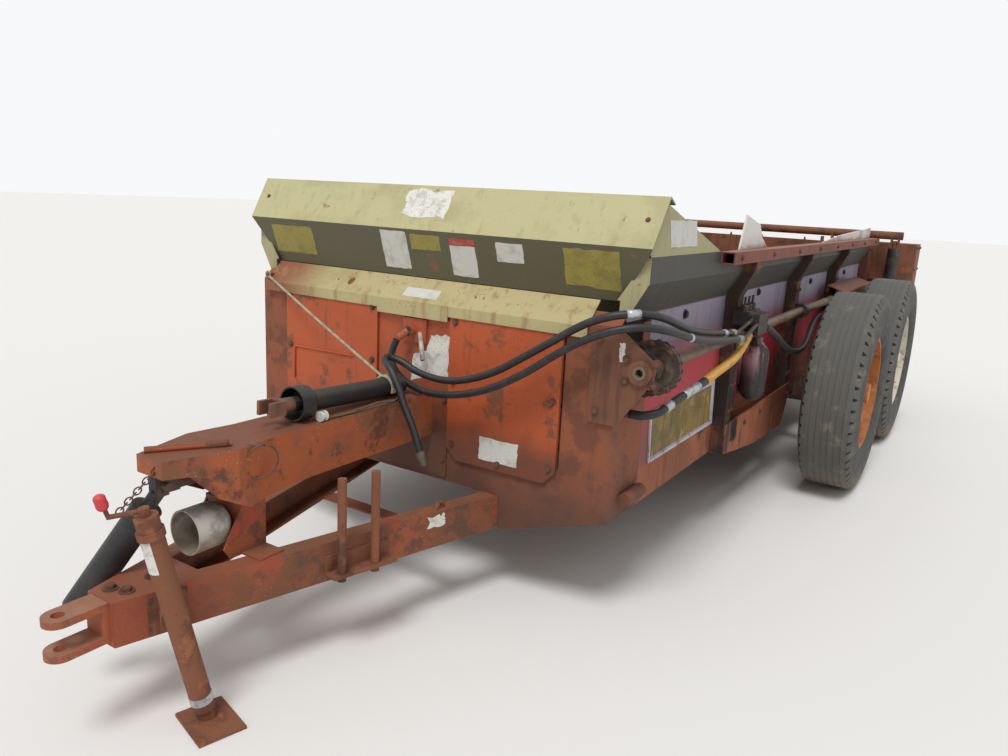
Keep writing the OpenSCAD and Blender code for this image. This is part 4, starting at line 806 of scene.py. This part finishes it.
# %% [markdown]
# The hood carries small painted decals and one torn sheet of paper, all left blank here.
# A decal could be a mask in the hood's material, but then the dirt below would show through it.
# So each one is a slab about half a millimetre thick, laid on the plane of its plate. A sloping
# plate is known by its ridge and one point further down or up the slope.

# %% Hood decals
RIDGE, FOOT, TOP = at(0, 5, 1313), at(0, 66, 1135), at(0, 100, 1473)
DECAL_LIFT = 0.0006


def on_slope(toward, across, down):
    """A point on a plate of the hood: metres from the middle and metres from the ridge."""
    return RIDGE + Vector((across, 0, 0)) + (toward - RIDGE).normalized() * down


def outward(toward):
    normal = LEFT.cross((toward - RIDGE).normalized())
    return normal if normal.y < 0 else -normal


def decal(rect, toward, tear, seed):
    normal = outward(toward)
    outline = [on_slope(toward, x, s) + normal * 0.0001 for x, s in ragged(rect, tear, seed)]
    return slab(outline, normal * DECAL_LIFT)


HOOD_DECALS = {
    "hood_decals_yellow": ("decal_yellow", FOOT, [
        ((-0.800, -0.566, 0.028, 0.146), 0.0025, 1), ((-0.054, 0.084, 0.018, 0.076), 0.0015, 2),
        ((0.594, 0.796, 0.020, 0.150), 0.004, 3)]),
    "hood_decals_white": ("decal_white", FOOT, [
        ((-0.197, -0.072, 0.012, 0.160), 0.0015, 4), ((0.126, 0.238, 0.048, 0.164), 0.0015, 5),
        ((0.328, 0.438, 0.022, 0.092), 0.0015, 6)]),
    "hood_decal_red_band": ("decal_red", FOOT, [((0.126, 0.238, 0.022, 0.046), 0.001, 7)]),
    "hood_torn_paper": ("torn_paper", TOP, [((-0.114, 0.096, 0.055, 0.166), 0.010, 8)]),
}
for name, (paint, toward, rects) in HOOD_DECALS.items():
    piece(name, [decal(rect, toward, tear, seed) for rect, tear, seed in rects], paint)
print("hood decals", sum(len(rects) for paint, toward, rects in HOOD_DECALS.values()))

# %% [markdown]
# The flat plates carry scraps of old paper, a sticker on the ledge and two signs. Torn edges come
# from a fixed random seed, so each scrap has the same ragged outline on every run.

# %% Scraps and signs


def front_scrap(outline, y):
    """A paper scrap on a plate that faces forward."""
    return slab([at(x, y, z) for x, z in outline], FORWARD * DECAL_LIFT)


panel_scrap = [(76, 935), (158, 943), (161, 786), (-14, 753), (-7, 855), (59, 876)]
piece("panel_torn_paper", [front_scrap(torn(panel_scrap, 5.0, 10, 6), PANEL_Y - 0.1)], "torn_paper")
piece("plate_scrap", [front_scrap(ragged((838, 857, 956, 1014), 3.0, 15), COVER_Y - 0.2)], "torn_paper")
beam_along = Vector((math.sin(BEAM_TURN), math.cos(BEAM_TURN), 0))
beam_out = Vector((math.cos(BEAM_TURN), -math.sin(BEAM_TURN), 0))
scrap_middle = at(324, -261, 351) + beam_out * 0.0002
beam_outline = [scrap_middle + beam_along * a + UP * b
                for a, b in ragged((-0.036, 0.036, -0.020, 0.020), 0.006, 16)]
piece("beam_scrap", [slab(beam_outline, beam_out * DECAL_LIFT)], "torn_paper")
piece("cover_decal", [front_scrap(ragged((318, 482, 512, 598), 2.0, 12), COVER_Y - 0.1)], "decal_white")
ledge_normal = Vector((0, -0.68, 0.73)).normalized()
sticker = [at(a * 1000, b, 1052 + (b + 20) * 80 / 85.7) + ledge_normal * 0.0002
           for a, b in ragged((-0.066, 0.094, -4, 28), 0.002, 13)]
piece("ledge_sticker", [slab(sticker, ledge_normal * DECAL_LIFT)], "decal_white")
sign_outline = [at(WALL_X + 3.2, y, z) for y, z in ((352, 540), (1012, 540), (990, 702), (334, 702))]
piece("sign_face", [slab(sign_outline, LEFT * 0.0012)], "sign_yellow")
end_outline = [at(WALL_X + 64.6, y + (1400 - z) * 0.3, z) for y, z in ragged((170, 420, 1312, 1400), 2.0, 14)]
piece("hood_end_sign", [slab(end_outline, LEFT * 0.0008)], "decal_white")
print("scraps and signs laid")

# %% [markdown]
# Bolt heads repeat in their hundreds, so Geometry Nodes places them. The base mesh is only
# loose points with a stored direction, and the tree puts a hexagon and a washer on each one.
# Its sizes are named inputs, set by the socket's identifier before the tree first runs.
# Afterwards the result becomes a plain mesh, one for each moving body.

# %% Bolt head tree
def bolt_tree():
    tree = bpy.data.node_groups.new("bolt_heads", "GeometryNodeTree")
    tree.interface.new_socket("Geometry", in_out="INPUT", socket_type="NodeSocketGeometry")
    for label, value in (("Radius", 0.009), ("Height", 0.007), ("Washer", 0.002)):
        socket = tree.interface.new_socket(label, in_out="INPUT", socket_type="NodeSocketFloat")
        socket.default_value = value
    tree.interface.new_socket("Finish", in_out="INPUT", socket_type="NodeSocketMaterial")
    tree.interface.new_socket("Geometry", in_out="OUTPUT", socket_type="NodeSocketGeometry")
    given, result = tree.nodes.new("NodeGroupInput").outputs, tree.nodes.new("NodeGroupOutput").inputs

    def disc(sides, radius, depth):
        """A cylinder that stands on its base."""
        sizes = {"Vertices": sides, "Radius": radius, "Depth": depth}
        body = add_node(tree, "GeometryNodeMeshCylinder", sizes)
        shift = add_node(tree, "ShaderNodeCombineXYZ", {"Z": math_node(tree, "MULTIPLY", depth, 0.5)})
        raised = {"Geometry": body.outputs["Mesh"], "Translation": shift.outputs[0]}
        return add_node(tree, "GeometryNodeTransform", raised).outputs["Geometry"]

    head = disc(6, given["Radius"], math_node(tree, "ADD", given["Height"], given["Washer"]))
    ring = disc(14, math_node(tree, "MULTIPLY", given["Radius"], 1.5), given["Washer"])
    both = add_node(tree, "GeometryNodeJoinGeometry", {0: head})
    feed(tree, both, {0: ring})
    facing = add_node(tree, "GeometryNodeInputNamedAttribute", {"Name": "facing"}, data_type="FLOAT_VECTOR")
    stored = facing.outputs["Attribute"]
    turn = add_node(tree, "FunctionNodeAlignRotationToVector", {"Vector": stored}, axis="Z")
    spots = {"Points": given["Geometry"], "Instance": both.outputs[0], "Rotation": turn.outputs["Rotation"]}
    placed = add_node(tree, "GeometryNodeInstanceOnPoints", spots)
    real = add_node(tree, "GeometryNodeRealizeInstances", {"Geometry": placed.outputs["Instances"]})
    finished = {"Geometry": real.outputs["Geometry"], "Material": given["Finish"]}
    paint = add_node(tree, "GeometryNodeSetMaterial", finished)
    tree.links.new(paint.outputs["Geometry"], result["Geometry"])
    return tree


heads = bolt_tree()
input_ids = {item.name: item.identifier for item in heads.interface.items_tree if item.in_out == "INPUT"}


def bolts(name, places, body, radius=0.009, tall=0.007, washer=0.002, finish_name="bolt_rust"):
    """places is a list of (point, direction)."""
    mesh = bpy.data.meshes.new(name)
    mesh.from_pydata([tuple(p) for p, d in places], [], [])
    facing = mesh.attributes.new("facing", "FLOAT_VECTOR", "POINT")
    facing.data.foreach_set("vector", [v for p, d in places for v in Vector(d).normalized()])
    obj = bpy.data.objects.new(name, mesh)
    bpy.context.scene.collection.objects.link(obj)
    modifier = obj.modifiers.new("heads", "NODES")
    modifier.node_group = heads
    numbers = {"Radius": radius, "Height": tall, "Washer": washer, "Finish": finishes[finish_name]}
    for label, value in numbers.items():
        modifier[input_ids[label]] = value
    settled = bpy.data.meshes.new_from_object(obj.evaluated_get(bpy.context.evaluated_depsgraph_get()))
    obj.modifiers.clear()
    obj.data = settled
    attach(obj, body)


print("tree inputs", sorted(input_ids))

# %% [markdown]
# The bolt places come from the plates themselves: at the corners of the covers and the panel,
# along the ribs, the rails and the skirts, and round the bearing. Bolts that don't move against
# each other share one piece, because a piece rides on one body.

# %% Bolts on the box
COVER_HOLES = ((192, 540), (192, 780), (192, 998), (400, 506), (610, 540), (610, 780), (610, 998),
               (-204, 600), (-204, 800), (-204, 1008), (-430, 556), (-656, 600), (-656, 800), (-656, 1008))
PANEL_HOLES = ((-160, 470), (150, 470), (-160, 700), (150, 700), (-160, 1020), (150, 1010))
RIB_PLACES = (1100, 2157, 3214)
chassis_bolts = [(at(x, COVER_Y, z), FORWARD) for x, z in COVER_HOLES]
chassis_bolts += [(at(x, PANEL_Y, z), FORWARD) for x, z in PANEL_HOLES]
for side in (1, -1):
    out = (side, 0, 0)
    chassis_bolts += [(at(side * RIB_X, y + dy, z), out)
                      for y in RIB_PLACES for dy in (-24, 24) for z in (580, 700, 1040)]
    chassis_bolts += [(at(side * RAIL_X, y, 1262), out) for y in range(820, 4300, 480)]
    chassis_bolts += [(at(side * SKIRT_X, y, 470), out) for y in (1100, 1360, 1620, 1880, 2150)]
    chassis_bolts += [(at(side * RIB_X, y, z), out) for y in (4400, 4460) for z in (500, 760, 1000, 1200)]
bolts("chassis_bolts", chassis_bolts, "chassis")
wall_places = ((576, 1050), (1565, 1064), (2695, 1050), (3760, 1050))
wall_bolts = [(at(side * WALL_X, y, z), (side, 0, 0)) for side in (1, -1) for y, z in wall_places]
bolts("wall_bolts", wall_bolts, "chassis", radius=0.013, tall=0.009, washer=0.003, finish_name="bolt_black")
drive_bolts = [(p, FORWARD) for p in on_circle(at(916, COVER_Y, 930), 0.062, (35, 145, 215, 325))]
drive_bolts += [(at(770, COVER_Y, z), FORWARD) for z in (780, 1015)]
bolts("drive_bolts", drive_bolts, "chassis", radius=0.010, tall=0.008)
hood_rivets = [(on_slope(TOP, x, 0.10), outward(TOP)) for x in (-0.86, 0.865)]
hood_rivets += [(on_slope(FOOT, x, 0.172), outward(FOOT)) for x in (-0.80, 0.79)]
bolts("hood_rivets", hood_rivets, "chassis", radius=0.006, tall=0.003, washer=0.001)
nose_bolts = [(at(x, y - TONGUE_LEN, 384), UP) for x, y in ((-22, 42), (24, 60), (0, 150))]
bolts("nose_bolts", nose_bolts, "chassis", radius=0.014, tall=0.010, washer=0.003)
print("box bolts", len(chassis_bolts) + len(wall_bolts) + len(drive_bolts))

# %% [markdown]
# The gate and the wheels move, so their bolts are pieces of their own. Ten nuts hold each truck
# wheel on one circle.

# %% Bolts on the gate and wheels
GATE_BACK_Y, HUB_X, HUB_Z, NUT_CIRCLE_R = 4422, 1.234, 0.525, 0.106
gate_bolts = [(at(x, GATE_BACK_Y, z), BACKWARD) for x in range(-780, 781, 260) for z in (550, 860, 1210)]
bolts("gate_bolts", gate_bolts, "gate")
for end, hub_y in AXLES.items():
    for side, word in ((1, "left"), (-1, "right")):
        hub = Vector((side * HUB_X, hub_y, HUB_Z))
        nuts = [(p, (side, 0, 0)) for p in on_circle(hub, NUT_CIRCLE_R, range(0, 360, 36), BACKWARD)]
        bolts(f"wheel_nuts_{end}_{word}", nuts, f"wheel_{end}_{word}", radius=0.013, tall=0.014)
print("gate bolts", len(gate_bolts), "nuts on a wheel", len(nuts))

# %% [markdown]
# The jack leans back and stands square to its beam, so its small things are placed in the tube's
# own directions. A hand would turn the red knob on the crank. The silver band is where the leg
# slides out, and the label is paper bent round the tube.

# %% Jack fittings
JACK_LEAN, JACK_Y, JACK_Z, JACK_OFF = math.radians(12), 1135, 320, 72
cos_t, sin_t = math.cos(BEAM_TURN), math.sin(BEAM_TURN)


def jack_point(x, y, z):
    """A point beside the jack's tube, in the tube's own leaning directions."""
    cos_l, sin_l = math.cos(JACK_LEAN), math.sin(JACK_LEAN)
    y, z = y * cos_l - z * sin_l, y * sin_l + z * cos_l
    face_x = NOSE_SPAN / 2 + (TONGUE_LEN - JACK_Y) * math.tan(BEAM_TURN)
    off = JACK_OFF + x
    return at(face_x + off * cos_t + y * sin_t, -JACK_Y - off * sin_t + y * cos_t, JACK_Z + z)


def wrapped(angles, low, top, inner, outer):
    """A thin label bent round the jack's tube, with its thickness."""
    section = ((inner, low), (outer, low), (outer, top), (inner, top))
    verts, faces = [], []
    for a in angles:
        x, y = math.sin(math.radians(a)), -math.cos(math.radians(a))
        verts += [jack_point(r * x, r * y, z) for r, z in section]
    for i in range(len(angles) - 1):
        b = 4 * i
        faces += [(b + k, b + (k + 1) % 4, b + 4 + (k + 1) % 4, b + 4 + k) for k in range(4)]
    last = 4 * (len(angles) - 1)
    return verts, [tuple(reversed(f)) for f in faces] + [(0, 1, 2, 3), (last + 3, last + 2, last + 1, last)]


knob_base, knob_end = jack_point(-22.5, -80, 366), jack_point(-24.3, -82.4, 407)
KNOB_SHAPE = ((0, 0.010), (0.12, 0.014), (0.3, 0.0155), (0.55, 0.0145),
              (0.8, 0.015), (0.93, 0.012), (1.0, 0.007))
grip = [knob_base.lerp(knob_end, share) for share, radius in KNOB_SHAPE]
knob = swept(grip, [radius for share, radius in KNOB_SHAPE], 14)
piece("crank_knob", [knob], "knob_red", body="jack", smooth=True)
band = [jack_point(0, 0, z) for z in (-262, -238)]
piece("jack_band", [swept(band, 0.0312, 20)], "silver_tape", body="jack")
piece("jack_label", [wrapped(list(range(-30, 61, 10)), 165, 262, 30.1, 30.8)], "torn_paper", body="jack")
print("jack fittings made")

# %% [markdown]
# A loose bar with a wire loop lies on the driveline housing, and the guard of the hanging shaft
# half is held by a light chain. A chain is ovals that alternate flat and upright, each a bent tube.

# %% Bar, wire and chain on the housing
loop_axes = Vector((0.15, 0.5, 0.0)).normalized(), Vector((0.1, 0, 1)).normalized()
loop_wire = on_circle(at(120, -838, 668), 0.052, arc(80, 430, 30), *loop_axes)
piece("wire_loop", [swept([at(98, -868, 722)] + loop_wire, 0.0032, 6)], "wire_grey", smooth=True)
bar_a, bar_b = at(-48, -1092, 730), at(70, -900, 730)
sleeve_line = [bar_a.lerp(bar_b, t) for t in (0.70, 0.74, 0.93, 0.97)]
piece("bar_sleeve", [swept(sleeve_line, [0.0105, 0.0125, 0.0125, 0.0105], 12)], "jack_rust", smooth=True)


def chain_links(a, b, link_long, wire_r):
    """Flat and upright oval links by turns along a straight line."""
    direction = (b - a).normalized()
    side = direction.orthogonal().normalized()
    other = direction.cross(side)
    pitch = link_long * 0.72
    parts = []
    for k in range(int((b - a).length / pitch)):
        centre = a + direction * pitch * (k + 0.5)
        across = side if k % 2 == 0 else other
        oval = on_circle(centre, link_long * 0.5, arc(0, 360, 12), direction, across * 0.64)
        parts.append(swept(oval, wire_r, 5))
    return parts


links = chain_links(at(30, -1105, 700), at(-60, -1180, 560), 0.026, 0.0022)
piece("guard_chain", links, "wire_grey", smooth=True)
print("links in the guard chain", len(links))

# %% [markdown]
# The centre panel has a hand lever and an oil port with its fitting. A white plastic reel with a
# thin cord lies beside the stored shaft. On the covers there are a bent bead and a small latch.

# %% Fittings on the front
lever = rod_between(at(31, -13, 938), at(74.5, -49.4, 846), 0.0086)
piece("panel_lever", [lever], "bell_grey", smooth=True)
hexagon = rod_between(at(-9, -47, 940), at(-25.6, -66.4, 920.8), 0.0138, 6)
piece("panel_fitting", [hexagon], "shaft_brown")
port = swept([at(-5, -42.4, 945), at(-5, -41, 945)], [0.0195, 0.0205], 18)
piece("port_ring", [port], "machined_dark")
REEL_SHAPE = ((0, 0.017), (7, 0.017), (7, 0.010), (19, 0.010), (19, 0.017), (26, 0.017))
reel = [at(80, -572 + y, 739.5) for y, radius in REEL_SHAPE]
piece("guard_reel", [swept(reel, [radius for y, radius in REEL_SHAPE], 20)], "decal_white")
CORD_POINTS = ((80, -545, 727.2), (88, -430, 727.2), (96, -320, 740.2), (92, -225, 727.2), (72, -178, 727.2))
cord = laid_rope([at(*q) for q in CORD_POINTS], 0.0045, 34)
piece("guard_cord", cord, "cord_dark", smooth=True)
bead = [at(-632, -16, 660), at(-630, -16, 790), at(-622, -16, 797), at(-300, -16, 800)]
piece("cover_bead", [swept(bead, 0.0045, 8)], "cover_orange", smooth=True)
latch = [rod_between(at(588, -30, 778), at(604, -15, 760), 0.006, 8),
         rod_between(at(578, -22, 768), at(612, -22, 772), 0.005, 8)]
piece("cover_latch", latch, "rust_brown", smooth=True)
print("front fittings made")

# %% [markdown]
# A cut rope end opens into loose fibres that hang down. Sixteen thin tapered hairs with small
# random drifts are enough; a hair system would be far heavier for so small a tuft.

# %% Frayed rope end
strand_rng = random.Random(21)
fray = []
for k in range(16):
    a = math.radians(200 + 100 * strand_rng.random())
    start = SHAFT + Vector((0.041 * math.cos(a), -0.017 * strand_rng.random(), 0.041 * math.sin(a)))
    drift = Vector((strand_rng.uniform(-0.018, 0.018), strand_rng.uniform(-0.012, 0.006), -1)).normalized()
    drift *= strand_rng.uniform(0.03, 0.07)
    middle = start + drift * 0.5 + Vector((0.003, 0, 0))
    fray.append(swept([start, middle, start + drift], [0.0011, 0.0009, 0.0005], 5))
piece("rope_fray", fray, "rope_pale")
print("fibres", len(fray))

# %% [markdown]
# Each beater turns in a flanged bearing on the end plate, and the same shafts end in the chain
# case on the other side. The photograph hides them, so they take the plain round form that such
# bearings have, each with four bolts. The case gets a bolted lid.

# %% Bearings and chain case
BEATER_SHAFTS = ((4740, 720), (4700, 1105))
FLANGE_BOLT_DEGREES = (45, 135, 225, 315)
CASE_X, CASE_BACK_Y, CASE_BEARING_X = 1190, 4841, 1040


def flange(start, direction, rim, height, radius):
    """A round bearing flange: a flat rim with a lower hub on it, lengths in metres."""
    points = [start, start + direction * rim, start + direction * rim, start + direction * height]
    return swept(points, [radius, radius, 0.040, 0.036], 24)


flanges = [flange(at(-RIB_X - 0.2, y, z), -LEFT, 0.0068, 0.0218, 0.062) for y, z in BEATER_SHAFTS]
piece("beater_bearings", flanges, "rust_brown")
bearing_bolts = [(p, -LEFT) for y, z in BEATER_SHAFTS
                 for p in on_circle(at(-RIB_X - 7, y, z), 0.050, FLANGE_BOLT_DEGREES, BACKWARD)]
bolts("beater_bearing_bolts", bearing_bolts, "chassis", radius=0.008)
lid = [at(CASE_X + 0.2, y, z) for y, z in ((4587, 572), (4823, 572), (4823, 1238), (4587, 1238))]
piece("case_lid", [slab(lid, LEFT * 0.0025)], "case_orange")
lid_bolts = [(at(CASE_X + 2.7, y, z), LEFT) for y in (4603, 4705, 4807) for z in (588, 1222)]
lid_bolts += [(at(CASE_X + 2.7, y, z), LEFT) for y in (4603, 4807) for z in (750, 905, 1060)]
bolts("case_lid_bolts", lid_bolts, "chassis", radius=0.007, tall=0.006)
case_flanges = [flange(at(CASE_BEARING_X, CASE_BACK_Y - 5.8, z), BACKWARD, 0.0058, 0.0208, 0.066)
                for y, z in BEATER_SHAFTS]
piece("case_rear_flanges", case_flanges, "rust_brown")
flange_bolts = [(p, BACKWARD) for y, z in BEATER_SHAFTS
                for p in on_circle(at(CASE_BEARING_X, CASE_BACK_Y, z), 0.053, FLANGE_BOLT_DEGREES)]
bolts("case_flange_bolts", flange_bolts, "chassis", radius=0.008)
print("bearing bolts", len(bearing_bolts) + len(flange_bolts), "lid bolts", len(lid_bolts))

# %% [markdown]
# Oil from the valves has run down the rib and the skirt below it. The finishes already darken that
# corner; two thin ragged runs add the wet black edge that a soft mask can't give.

# %% Oil runs
rib_run = [at(RIB_X + 0.1, y, z) for y, z in ragged((1072, 1130, 560, 852), 9.0, 31, 9)]
skirt_run = [at(SKIRT_X + 0.1, y, z) for y, z in ragged((1150, 1240, 420, 516), 7.0, 32, 9)]
piece("oil_runs", [slab(rib_run, LEFT * 0.0004), slab(skirt_run, LEFT * 0.0004)], "oil_stain")
print("oil runs made")

# %% [markdown]
# The studio has a pale floor, an even pale sky and one broad lamp, so a colour renders about as it
# is written. Hard sun as in the photograph would hide the shaded plates in black. The world lights
# those sides here, and the lamp only gives the plates their direction. The camera sees a brighter
# sky than the one that lights the scene, so the backdrop stays pale without bleaching the paint.

# %% Studio
floor_mesh = bpy.data.meshes.new("studio_floor")
corners = [(x, y, -0.001) for x, y in ((-60, -60), (60, -60), (60, 60), (-60, 60))]
floor_mesh.from_pydata(corners, [], [(0, 1, 2, 3)])
studio_floor = bpy.data.objects.new("studio_floor", floor_mesh)
bpy.context.scene.collection.objects.link(studio_floor)
floor_paint = bpy.data.materials.new("floor_paint")
floor_paint.use_nodes = True
tree = floor_paint.node_tree
feed(tree, tree.nodes["Principled BSDF"], {"Base Color": (0.80, 0.79, 0.77, 1), "Roughness": 0.95})
floor_mesh.materials.append(floor_paint)

sky = bpy.data.worlds.new("studio_sky")
sky.use_nodes = True
tree = sky.node_tree
background = tree.nodes["Background"]
feed(tree, background, {"Color": (1.0, 1.0, 1.0, 1), "Strength": 0.58})
bright = add_node(tree, "ShaderNodeBackground", {"Color": (0.93, 0.94, 0.95, 1)})
rays = tree.nodes.new("ShaderNodeLightPath").outputs
seen = math_node(tree, "ADD", rays["Is Camera Ray"], rays["Is Glossy Ray"])
choose = add_node(tree, "ShaderNodeMixShader", {0: seen, 1: background.outputs[0], 2: bright.outputs[0]})
feed(tree, tree.nodes["World Output"], {"Surface": choose.outputs[0]})
bpy.context.scene.world = sky

lamp_data = bpy.data.lights.new("broad_lamp", "SUN")
lamp_data.energy = 1.85
lamp_data.angle = math.radians(20)
lamp = bpy.data.objects.new("broad_lamp", lamp_data)
lamp.rotation_euler = Vector((0.15, -0.55, 1.0)).to_track_quat("Z", "Y").to_euler()
bpy.context.scene.collection.objects.link(lamp)
bpy.context.scene.view_settings.view_transform = "Standard"
print("studio ready")
